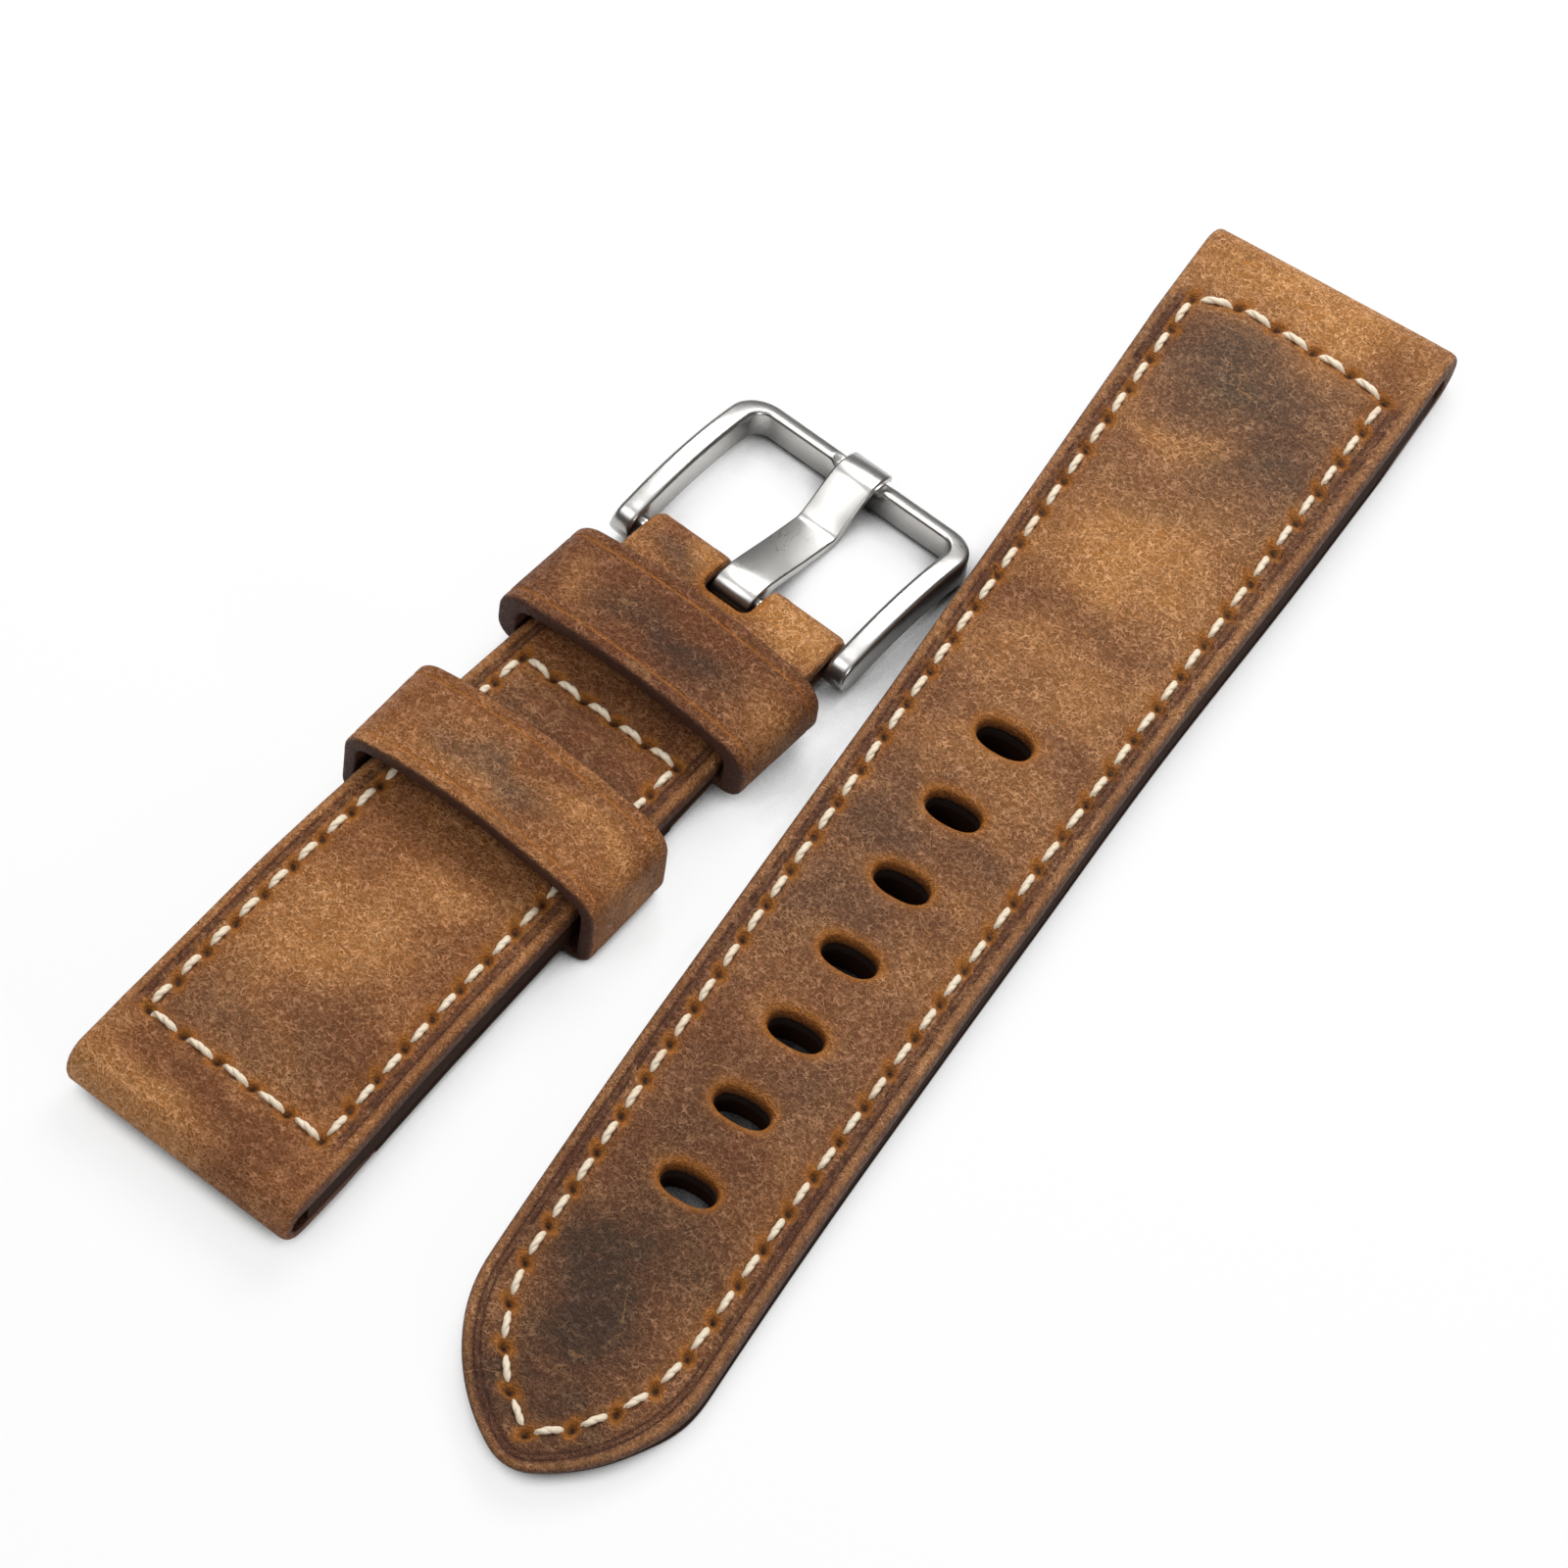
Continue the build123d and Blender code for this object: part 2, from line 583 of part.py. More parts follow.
def loop_face(half_w, bottom, crown, shoulder, corner_r, shoulder_r):
    """A flat-bottomed loop's outline with an arched top."""
    edges = [Line((-half_w, bottom), (half_w, bottom)), Line((half_w, bottom), (half_w, shoulder)),
             ThreePointArc((half_w, shoulder), (0, crown), (-half_w, shoulder)),
             Line((-half_w, shoulder), (-half_w, bottom))]
    face = Face(Wire(edges))
    face = fillet(face.vertices().sort_by(Axis.Y)[:2], corner_r)
    upper = [v for v in face.vertices() if abs(v.Y - shoulder) < THREAD_CLEAR and v.Y > bottom + corner_r]
    return fillet(upper, shoulder_r)


def keeper(start, half_w, bottom, leaf, crown, shoulder):
    """A leather loop round the strap, thinner where it passes under or into it."""
    lean = 2 * (crown - shoulder) / half_w
    outer = loop_face(half_w, bottom, crown, shoulder, KEEPER_OUTER_R, KEEPER_SHOULDER_R)
    inner = loop_face(half_w - KEEPER_T, bottom + leaf, crown - KEEPER_T, shoulder - KEEPER_T * (1 - lean),
                      KEEPER_INNER_R, KEEPER_SHOULDER_R - KEEPER_T)
    return extrude(Plane.XZ.offset(-start - KEEPER_WIDTH) * (outer - inner), KEEPER_WIDTH)


def free_keeper():
    """The sliding loop; its lower leaf lies on the table under the strap."""
    return keeper(FREE_KEEPER_Y, FREE_KEEPER_HALF_W, -STRAP_LIFT, FREE_KEEPER_LEAF,
                  FREE_KEEPER_CROWN, FREE_KEEPER_SHOULDER)


def fixed_keeper():
    """The loop held between the upper leather and the leaf folded back from the bar."""
    leaf = SHORT_RIM_TAPER[1] - LEATHER_T - BACK_LEAF_T
    return keeper(FIXED_KEEPER_Y, FIXED_KEEPER_HALF_W, BACK_LEAF_T, leaf,
                  FIXED_KEEPER_CROWN, FIXED_KEEPER_SHOULDER)


def along_bar(radius, x_from, x_to):
    """A cylinder on the bar's axis."""
    return Pos((x_from + x_to) / 2, 0, 0) * Rot(0, 90, 0) * Cylinder(radius, x_to - x_from)


def buckle_frame():
    """The open frame: two arched arms and a front bar with a seat for the tongue."""
    top = (FRAME_REACH, FRAME_TOP_FRONT)
    bottom = (FRAME_REACH, FRAME_BOTTOM_FRONT)
    side = [ThreePointArc((0, -FRAME_END_R), (-FRAME_END_R, 0), (0, FRAME_END_R)),
            ThreePointArc((0, FRAME_END_R), FRAME_TOP_MID, top), Line(top, bottom),
            ThreePointArc(bottom, FRAME_BOTTOM_MID, (0, -FRAME_END_R))]
    blank = extrude(Plane.YZ * Face(Wire(side)), FRAME_HALF_W, both=True)
    window_end = FRAME_REACH - FRONT_BAR_T
    back = -FRAME_END_R - OVERRUN
    outer = Pos(0, (back + FRAME_REACH) / 2) * Rectangle(2 * FRAME_HALF_W, FRAME_REACH - back)
    outer = fillet(outer.vertices().sort_by(Axis.Y)[-2:], FRAME_CORNER_R)
    window = Pos(0, (back + window_end) / 2) * Rectangle(2 * FRAME_INNER_HALF_W, window_end - back)
    window = fillet(window.vertices().sort_by(Axis.Y)[-2:], FRAME_WINDOW_R)
    height = FRAME_TOP_MID[1] - FRAME_BOTTOM_FRONT + 2 * OVERRUN
    plan = extrude(Pos(0, 0, FRAME_BOTTOM_FRONT - OVERRUN) * (outer - window), height)
    frame = blank & plan
    upper = [e for e in frame.edges() if e.center().Z > 0 and e.center().Y > 0 and e.length > FRAME_BEVEL]
    frame = chamfer([e for e in upper if abs(e.tangent_at(MIDWAY).Z) < LEVEL_SLOPE], FRAME_BEVEL)
    seat = Box(TONGUE_W + 2 * NOTCH_CLEAR, 2 * FRONT_BAR_T + OVERRUN, FRAME_TOP_FRONT + OVERRUN)
    seat = Pos(0, FRAME_REACH, NOTCH_FLOOR + (FRAME_TOP_FRONT + OVERRUN) / 2) * seat
    holes = along_bar(FRAME_SLOT_R, -FRAME_INNER_HALF_W - PIN_HOLE_DEPTH, FRAME_INNER_HALF_W + PIN_HOLE_DEPTH)
    return frame - seat - holes


def buckle_tongue():
    """The tongue: a barrel round the bar, a blade that dips, then rises over the front bar."""
    seat_top = NOTCH_FLOOR + TONGUE_SEAT_CLEAR + TONGUE_T
    line = Polyline((0, BARREL_R - TONGUE_T / 2), (KINK[0], KINK[1] - TONGUE_T / 2),
                    (TONGUE_SEAT_START, seat_top - TONGUE_T / 2), (FRAME_REACH, seat_top - TONGUE_T / 2),
                    (TONGUE_TIP[0], TONGUE_TIP[1] - TONGUE_T / 2))
    blade = offset(line, TONGUE_T / 2, side=Side.BOTH, kind=Kind.INTERSECTION)
    blade = extrude(Plane.YZ * make_face(blade), TONGUE_W / 2, both=True)
    barrel = along_bar(BARREL_R, -TONGUE_W / 2, TONGUE_W / 2)
    bore = along_bar(TUBE_R + RUNNING_CLEAR, -TONGUE_W, TONGUE_W)
    return blade + barrel - bore


def bar_tube():
    """The spring bar's tube, with its ends crimped in over the pins."""
    inner = TUBE_R - TUBE_WALL
    tube = along_bar(TUBE_R, -TUBE_HALF, TUBE_HALF)
    hollow = along_bar(inner, CRIMP_T - TUBE_HALF, TUBE_HALF - CRIMP_T)
    mouths = along_bar(PIN_TIP_R + RUNNING_CLEAR, -TUBE_HALF - OVERRUN, TUBE_HALF + OVERRUN)
    return tube - hollow - mouths


def bar_pin():
    """The right-hand pin: tail in the spring, shank behind the crimp, tip in the frame arm."""
    shoulder = TUBE_HALF - CRIMP_T
    tip_end = TUBE_HALF + PIN_TRAVEL
    tail_end = shoulder - PIN_SHANK - PIN_TAIL
    tip = along_bar(PIN_TIP_R, shoulder - PIN_SHANK, tip_end)
    tip = chamfer(tip.edges().sort_by(Axis.X)[-1:], PIN_TIP_CHAMFER)
    shank = along_bar(TUBE_R - TUBE_WALL - RUNNING_CLEAR, shoulder - PIN_SHANK, shoulder)
    tail = along_bar(PIN_TAIL_R, tail_end, shoulder - PIN_SHANK)
    return tip + shank + tail


def bar_spring():
    """The coil spring between the two pins."""
    length = 2 * (TUBE_HALF - CRIMP_T - PIN_SHANK - SPRING_CLEAR - SPRING_WIRE_R)
    radius = TUBE_R - TUBE_WALL - SPRING_CLEAR - SPRING_WIRE_R
    path = Helix(length / SPRING_TURNS, length, radius)
    wire = Plane(path @ 0, z_dir=path % 0) * Circle(SPRING_WIRE_R)
    coil = sweep(wire, path=path, is_frenet=True)
    return Pos(-length / 2, 0, 0) * Rot(0, 90, 0) * coil


def write(name, shape):
    shape.label = name
    export_step(shape, f"parts/{name}.step")


short_place = Pos(0, 0, -NOSE_R)
long_place = Pos(LONG_PLACE[0], LONG_PLACE[1], FLOOR_Z) * Rot(0, 0, 180 + LONG_TURN)
bar_place = Pos(0, BAR_Y, BAR_Z - NOSE_R)

os.makedirs("parts", exist_ok=True)
for node, piece in long_layers().items():
    write(node, long_place * piece)
for node, piece in short_layers().items():
    write(node, short_place * piece)
write("free_keeper", short_place * free_keeper())
write("fixed_keeper", short_place * fixed_keeper())
write("buckle_frame", bar_place * buckle_frame())
write("buckle_tongue", bar_place * buckle_tongue())
write("bar_tube", bar_place * bar_tube())
write("bar_pin_right", bar_place * bar_pin())
write("bar_pin_left", bar_place * Rot(0, 0, 180) * bar_pin())
write("bar_spring", bar_place * bar_spring())
print("floor", round(FLOOR_Z, 3), "bar", round(BAR_Y, 3), round(BAR_Z - NOSE_R, 3))
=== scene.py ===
import math

import bmesh
import bpy
import numpy as np
from mathutils import Matrix, Vector, noise
from mathutils.geometry import delaunay_2d_cdt
from mathutils.kdtree import KDTree


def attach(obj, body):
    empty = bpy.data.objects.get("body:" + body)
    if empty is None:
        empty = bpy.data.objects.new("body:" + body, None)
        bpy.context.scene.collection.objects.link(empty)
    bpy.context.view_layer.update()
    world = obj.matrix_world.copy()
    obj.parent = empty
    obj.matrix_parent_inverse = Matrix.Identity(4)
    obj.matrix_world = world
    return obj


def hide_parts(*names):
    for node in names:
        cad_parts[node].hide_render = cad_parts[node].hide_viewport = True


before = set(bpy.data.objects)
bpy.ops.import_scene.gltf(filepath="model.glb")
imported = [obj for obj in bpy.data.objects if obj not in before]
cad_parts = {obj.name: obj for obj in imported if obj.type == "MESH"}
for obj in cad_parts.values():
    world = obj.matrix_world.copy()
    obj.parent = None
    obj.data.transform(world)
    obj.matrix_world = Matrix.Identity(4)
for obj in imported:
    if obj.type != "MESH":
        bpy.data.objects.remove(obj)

bl_info = {
    "name": "Padded leather watch strap",
    "version": (1, 0, 0),
    "blender": (4, 5, 0),
    "location": "3D View > Sidebar > Strap",
    "description": "Dresses the two halves of a padded, stitched leather watch strap with its keepers and steel buckle",
    "category": "Object",
}

# The shapes below are worked out in millimetres, in each half's own plan: x across,
# y from its lug bore toward its free end, z from its underside. s is the distance along
# the outer skin: the same as y on the face, below zero round the lug and under it.
MM = 0.001
FAR = 1e9
QUARTER = math.pi / 2

# Where each plan lies in the frame: its origin, and its turn in degrees.
LONG_SPOT = ((20.84, 125.14, -3.55), 186.746)
SHORT_SPOT = ((0.0, 0.0, -2.6), 0.0)
BAR_SPOT = ((0.0, 70.0, -1.0), 0.0)

NOSE_R = 2.6
NOSE_ARC = math.pi * NOSE_R
BORE_R = 1.0
UPPER_T = 1.6
LINING_T = 1.0
TAPE_T = 0.3
LEAF_END = 9.6
LEAF_SKIVE = 3.0
ROW_Y = 5.6
LUG_W = 11.8

# The padded panel: where it starts to rise inside the seam, the share and reach of its
# steep and its soft rise, and how it fades out at the lug and before the buckle.
CROWN_FOOT = 0.45
CROWN_RISES = ((0.62, 0.75), (0.38, 3.2))
CROWN_LUG_FADE = 3.2
CROWN_TAIL_FADE, CROWN_TAIL_PAST = 2.6, 1.2

# Marks of the stitches and the creaser, with widths as those of bell().
CHANNEL_W = 0.42
AWL_SLANT = math.radians(38)
AWL_STRETCH = 0.62
AWL_W = 0.42
PUCKER_H, PUCKER_R, PUCKER_W = 0.15, 0.72, 0.24
PULL_DEPTH, PULL_W, PULL_START = 0.1, 1.5, 0.8
CREASE_HALF = 0.27
CREASE_IN_W, CREASE_OUT_W = 0.09, 0.1
CREASE_SAG, CREASE_SAG_W = 0.05, 0.4
GROOVE_DEPTH, GROOVE_W = 0.5, 0.46

# Rounded edges, the soft lip round a hole and the slow waves of the face.
EDGE_R = 0.72
LINING_EDGE_R = 0.4
OVAL_EDGE_R = 0.78
SLOT_EDGE_R = 0.34
LIP_H, LIP_R, LIP_W = 0.06, 1.15, 0.4
WAVE_H, WAVE_SIZE = 0.05, 7.0
NOSE_REACH = 6.0
IN_HOLE = 0.02

OVAL_COUNT = 7
OVAL_FIRST = 53.975
OVAL_PITCH = 8.22
OVAL_W = 2.48
OVAL_D = 1.36
OVAL_FULL = 0.84

# How dense the leather's mesh is: insets of its rings, and half-width and step of its rows.
EDGE_RINGS = (0.07, 0.17, 0.32, 0.5, 0.68, 0.84, 0.95, 1.05, 1.15, 1.32, 1.49, 1.59, 1.69, 1.85)
OVAL_RINGS = (0.08, 0.16, 0.26, 0.38, 0.52, 0.68, 0.88, 1.15, 1.5)
SLOT_RINGS = (0.15, 0.35, 0.7)
AWL_RINGS = ((0.2, 7), (0.4, 9), (0.62, 11), (0.85, 12))
SEAM_ROWS = (-0.75, -0.5, -0.25, 0, 0.25, 0.5, 0.75, 1.05)
WALL_ROWS = (0.34, 0.67)
FACE_HALF_W, FACE_STEP = 11.6, 0.5
BACK_HALF_W, BACK_STEP = 10.6, 1.7


def circle_through(a, b, c):
    d = 2 * (a[0] * (b[1] - c[1]) + b[0] * (c[1] - a[1]) + c[0] * (a[1] - b[1]))
    sa, sb, sc = (p[0] ** 2 + p[1] ** 2 for p in (a, b, c))
    x = (sa * (b[1] - c[1]) + sb * (c[1] - a[1]) + sc * (a[1] - b[1])) / d
    y = (sa * (c[0] - b[0]) + sb * (a[0] - c[0]) + sc * (b[0] - a[0])) / d
    return x, y, math.hypot(a[0] - x, a[1] - y)


def between(a, b, share):
    return a[0] + (b[0] - a[0]) * share, a[1] + (b[1] - a[1]) * share


def arc(x, y, r, start, stop, count, closed=False):
    """Points along an arc; a closed one leaves its last point out."""
    turns = np.linspace(start, stop, count, endpoint=not closed)
    return [(float(x + r * math.cos(a)), float(y + r * math.sin(a))) for a in turns]


def mirrored(right, shared):
    """A line and its mirror image in x; `shared` tells whether its last point lies on the middle."""
    left = right[-2::-1] if shared else right[::-1]
    return [(float(x), float(y)) for x, y in right + [(-x, y) for x, y in left]]


def sides(loop):
    return zip(loop, loop[1:] + loop[:1])


def area(loop):
    return sum(a[0] * b[1] - b[0] * a[1] for a, b in sides(loop)) / 2


def outward(loop):
    """Unit directions out of a loop that runs anticlockwise, at each of its points."""
    p = np.array(loop)
    along = np.roll(p, -1, 0) - np.roll(p, 1, 0)
    along /= np.linalg.norm(along, axis=1)[:, None] + 1e-9
    return np.stack([along[:, 1], -along[:, 0]], 1)


def nearest_on(line, x, y):
    """Distance of every point from an open chain of points."""
    best = np.full(np.shape(x), FAR)
    for a, b in zip(line[:-1], line[1:]):
        d = np.subtract(b, a)
        t = np.clip(((x - a[0]) * d[0] + (y - a[1]) * d[1]) / (d @ d), 0, 1)
        best = np.minimum(best, np.hypot(x - a[0] - t * d[0], y - a[1] - t * d[1]))
    return best


def nearest_of(loops, x, y):
    """Distance of every point from the nearest of some closed loops."""
    best = np.full(np.shape(x), FAR)
    for loop in loops:
        best = np.minimum(best, nearest_on(loop + loop[:1], x, y))
    return best


def inside(loop, x, y):
    """Which points lie in a closed loop."""
    hit = np.zeros(np.shape(x), bool)
    for a, b in sides(loop):
        if a[1] != b[1]:
            crosses = (y < a[1]) != (y < b[1])
            hit ^= crosses & (x < a[0] + (y - a[1]) * (b[0] - a[0]) / (b[1] - a[1]))
    return hit


def clear_of(loops, x, y):
    """Which points lie in none of the loops."""
    free = np.ones(np.shape(x), bool)
    for loop in loops:
        free &= ~inside(loop, x, y)
    return free


def lattice(x0, x1, y0, y1, step):
    """Staggered rows of points over a rectangle."""
    points = []
    for k, y in enumerate(np.arange(y0, y1, step * 0.87)):
        points += [(float(x), float(y)) for x in np.arange(x0 + step / 2 * (k % 2), x1, step)]
    return points


def thinned(points, taken, gap):
    """Points that keep a gap from those already taken."""
    tree = KDTree(len(taken))
    for k, p in enumerate(taken):
        tree.insert((p[0], p[1], 0), k)
    tree.balance()
    return [p for p in points if tree.find((p[0], p[1], 0))[2] > gap]


def bell(distance, width):
    return np.exp(-((distance / width) ** 2))


def smooth(share):
    share = np.clip(share, 0, 1)
    return share * share * (3 - 2 * share)


def rounding(distance, radius=EDGE_R):
    """How far a rounded edge lies under the face, by the distance from it."""
    inner = np.clip(radius - distance, 0, radius)
    return radius - np.sqrt(np.maximum(radius ** 2 - inner ** 2, 0))


def waviness(x, y, scale, seed):
    return np.array([noise.noise(Vector((a / scale, b / scale, seed))) for a, b in zip(x, y)])


def oval(y, grow=0.0):
    """One punched hole: an oval a little fuller than an ellipse."""
    wide, deep, count = OVAL_W + grow, OVAL_D + grow, 40
    points = []
    for k in range(count):
        a = 2 * math.pi * (k + 0.5) / count
        c, s = math.cos(a), math.sin(a)
        points.append((math.copysign(wide * abs(c) ** OVAL_FULL, c), y + math.copysign(deep * abs(s) ** OVAL_FULL, s)))
    return points


class Half:
    """Plan and side view of one strap half, the same as its solids have."""
    lug_t = 2 * NOSE_R
    heel_s = -(NOSE_ARC + LEAF_END)
    bar_y = back_s = FAR
    ring_step = 0.9

    def settle(self, points):
        """Takes points of the straight half to where they lie."""
        points[:, 0] += self.lean(points[:, 1])

    def rim(self, y):
        """Height of the face beside the padded panel."""
        centre_y, centre_z, radius = circle_through((0, self.lug_t), self.mid, self.taper)
        curve = centre_z + np.sqrt(np.maximum(radius ** 2 - (y - centre_y) ** 2, 0))
        share = (y - self.taper[0]) / (self.end[0] - self.taper[0])
        return np.where(y > self.taper[0], self.taper[1] + share * (self.end[1] - self.taper[1]), curve)

    def side(self, s):
        """Side view of the outer skin: place and outward direction."""
        turn = np.clip(-s / NOSE_R, 0, math.pi)
        y = np.where(s >= 0, s, -NOSE_R * np.sin(turn))
        z = np.where(s >= 0, self.rim(np.maximum(s, 0)), NOSE_R + NOSE_R * np.cos(turn))
        ny, nz = np.where(s >= 0, 0, -np.sin(turn)), np.where(s >= 0, 1, np.cos(turn))
        leaf = s < -NOSE_ARC
        return np.where(leaf, -s - NOSE_ARC, y), np.where(leaf, 0, z), ny, nz

    def lining_side(self, s):
        """Side view of the flesh side of the upper leather."""
        turn = np.clip(-s / NOSE_R, 0, math.pi)
        y, z, _, _ = self.side(s)
        y = np.where((s < 0) & (s > -NOSE_ARC), -BORE_R * np.sin(turn), y)
        z = np.where(s >= 0, z - UPPER_T, NOSE_R + BORE_R * np.cos(turn))
        return y, np.where(s < -NOSE_ARC, skived(y), z)

    def seam_distance(self, x, y):
        """Distance from the stitch line, above zero inside it."""
        near = nearest_on(self.seam + self.seam[:1], x, y)
        return np.where(inside(self.seam, x, y), near, -near)

    def pit_distance(self, x, y):
        """Distance from the nearest awl hole, measured wider along the awl's slant."""
        best = np.full(np.shape(x), FAR)
        for k, (hole, after) in enumerate(sides(self.seam)):
            before = self.seam[k - 1]
            angle = math.atan2(after[1] - before[1], after[0] - before[0]) + AWL_SLANT
            u = (x - hole[0]) * math.cos(angle) + (y - hole[1]) * math.sin(angle)
            v = -(x - hole[0]) * math.sin(angle) + (y - hole[1]) * math.cos(angle)
            best = np.minimum(best, np.hypot(u * AWL_STRETCH, v))
        return best

    def crown(self, x, y):
        """Height of the padded panel over the rim: it rises steeply at its foot, then softly."""
        t = np.maximum(self.seam_distance(x, y) - CROWN_FOOT, 0)
        fade = smooth((y - ROW_Y + self.heel_bow) / CROWN_LUG_FADE)
        if not self.open_end:
            fade = fade * smooth((self.crown_end + CROWN_TAIL_PAST - y) / CROWN_TAIL_FADE)
        share = np.clip((y - ROW_Y) / (self.crown_end - ROW_Y), 0, 1)
        rise = self.crown_lug + (self.crown_tail - self.crown_lug) * share
        return rise * sum(part * (1 - np.exp(-t / reach)) for part, reach in CROWN_RISES) * fade

    def crease_lines(self, x, y, widths):
        """The two pressed lines beside the edge, and the distance from the middle between them."""
        crease = self.edge_distance(x, y) - bpy.context.scene.strap_sizes.crease_inset / MM
        return bell(crease - CREASE_HALF, widths[0]) + bell(crease + CREASE_HALF, widths[1]), crease

    def relief(self, x, y):
        """Height of creases, stitch channel, awl pits and puckers on the face."""
        sizes = bpy.context.scene.strap_sizes
        seam, pit = self.seam_distance(x, y), self.pit_distance(x, y)
        lines, crease = self.crease_lines(x, y, (CREASE_IN_W, CREASE_OUT_W))
        z = -sizes.channel_depth / MM * bell(seam, CHANNEL_W)
        z = z - sizes.pit_depth / MM * bell(pit, AWL_W) + PUCKER_H * bell(pit - PUCKER_R, PUCKER_W) * bell(seam, 1.0)
        z = z - PULL_DEPTH * bell(pit, PULL_W) * smooth(seam / PULL_START)
        return z - (sizes.crease_depth / MM * lines + CREASE_SAG * bell(crease, CREASE_SAG_W)) * self.creased(y)

    def groove(self, x, y):
        """Depth of the channel in the underside that the lower dashes lie in."""
        return GROOVE_DEPTH * bell(self.seam_distance(x, y), GROOVE_W)


def skived(y):
    """Thickness of the leaf turned under at the lug, pared down toward its end."""
    share = np.clip((y - LEAF_END + LEAF_SKIVE) / LEAF_SKIVE, 0, 1)
    return UPPER_T + (LINING_T - UPPER_T) * share


class LongHalf(Half):
    mid, taper, end = (55.6, 4.9), (105.6, 3.4), (131.8, 3.0)
    crown_lug, crown_tail, crown_end = 0.9, 0.45, 105.6
    open_end = True
    heel_bow = 1.0
    nose_shift = -1.1
    waist = ((8, LUG_W), (35.6, 11.1), (55.6, 10.75))
    tail_y, tail_w = 116.6, 10.4
    shoulder, shoulder_r = (-6.6, 116.6), 17.0
    tip_y, tip_r = 127.8, 4.0
    seam_w, seam_tail, seam_tail_w, seam_r, seam_count = 9.49, 114.6, 7.6, 16.8, 34
    heel_bows = (0.8, 1.0, 1.3, 1.4)
    far_s = 131.8
    crease_start, crease_fade = 4.5, 2.0
    bend, bend_start, bend_run = 1.2, 90.0, 41.8
    loose_w = 3.0
    swells = ((0.55, 50.0, 30.0), (0.1, 60.0, 20.0))
    tuck, tuck_start, tuck_run, tuck_top = 1.6, 118.0, 8.0, 2.9

    def __init__(self):
        straight = math.hypot(self.seam_tail - ROW_Y, self.seam_w - self.seam_tail_w)
        turn = math.acos((self.seam_r - self.seam_tail_w) / self.seam_r)
        holes = []
        for k in range(self.seam_count):
            run = (straight + self.seam_r * turn) * k / (self.seam_count - 1)
            if run <= straight:
                holes.append(between((self.seam_w, ROW_Y), (self.seam_tail_w, self.seam_tail), run / straight))
            else:
                angle = (run - straight) / self.seam_r
                holes.append((self.seam_tail_w - self.seam_r * (1 - math.cos(angle)),
                              self.seam_tail + self.seam_r * math.sin(angle)))
        heel = [(-self.seam_w + 2 * self.seam_w * k / 5, ROW_Y - bow) for k, bow in enumerate(self.heel_bows, 1)]
        self.seam = mirrored(holes, True) + heel
        self.tip_turn = math.atan2(self.tip_y - self.shoulder[1], -self.shoulder[0])

    def lean(self, y):
        """How far the half, which isn't quite straight, lies to one side at y."""
        return -self.bend * (np.maximum(y - self.bend_start, 0) / self.bend_run) ** 2

    def settle(self, points):
        """Bends the half, swells its left side toward the lug and tucks the tip's lower edge in."""
        x, y, z = points.T
        near = smooth(1 - self.edge_distance(x, y) / self.loose_w)
        (lug, lug_y, lug_run), (tail, tail_y, tail_run) = self.swells
        swell = near * (lug * smooth((lug_y - y) / lug_run) - tail * smooth((y - tail_y) / tail_run)) * (x < 0)
        tip = smooth((y - self.tuck_start) / self.tuck_run)
        tuck = self.tuck * near * tip * np.clip(1 - z / self.tuck_top, 0, 1)
        points[:, 1] -= tuck
        points[:, 0] += self.lean(y) - swell

    def half_width(self, y):
        (start, _), _, (stop, stop_w) = self.waist
        cx, cy, r = circle_through(*self.waist)
        curve = cy - np.sqrt(np.maximum(r ** 2 - (y - cx) ** 2, 0))
        line = stop_w + (y - stop) / (self.tail_y - stop) * (self.tail_w - stop_w)
        return np.where(y <= start, LUG_W, np.where(y <= stop, curve, line))

    def edge_distance(self, x, y):
        side = self.half_width(np.minimum(y, self.tail_y)) - np.abs(x)
        around = self.shoulder_r - np.hypot(np.abs(x) - self.shoulder[0], y - self.shoulder[1])
        tip = self.tip_r - np.hypot(x, y - self.tip_y)
        past = (y - self.tip_y) > math.tan(self.tip_turn) * np.abs(x)
        return np.where(y <= self.tail_y, side, np.where(past, tip, around))

    def creased(self, y):
        """Where the pressed lines run."""
        return smooth((y - self.crease_start) / self.crease_fade)

    def ring(self, inset):
        """A line along both sides and the tip, at a distance from the edge, by plan x and skin distance s."""
        s = np.linspace(self.heel_s, self.tail_y, round((self.tail_y - self.heel_s) / self.ring_step))
        right = list(zip(self.half_width(np.maximum(s, 0)) - inset, s))
        right += arc(*self.shoulder, self.shoulder_r - inset, 0, self.tip_turn, 22)[1:]
        right += arc(0, self.tip_y, self.tip_r - inset, self.tip_turn, QUARTER, 7)[1:]
        return mirrored(right, True)

    def holes(self, grow=0.0):
        return [oval(OVAL_FIRST + OVAL_PITCH * k, grow) for k in range(OVAL_COUNT)]


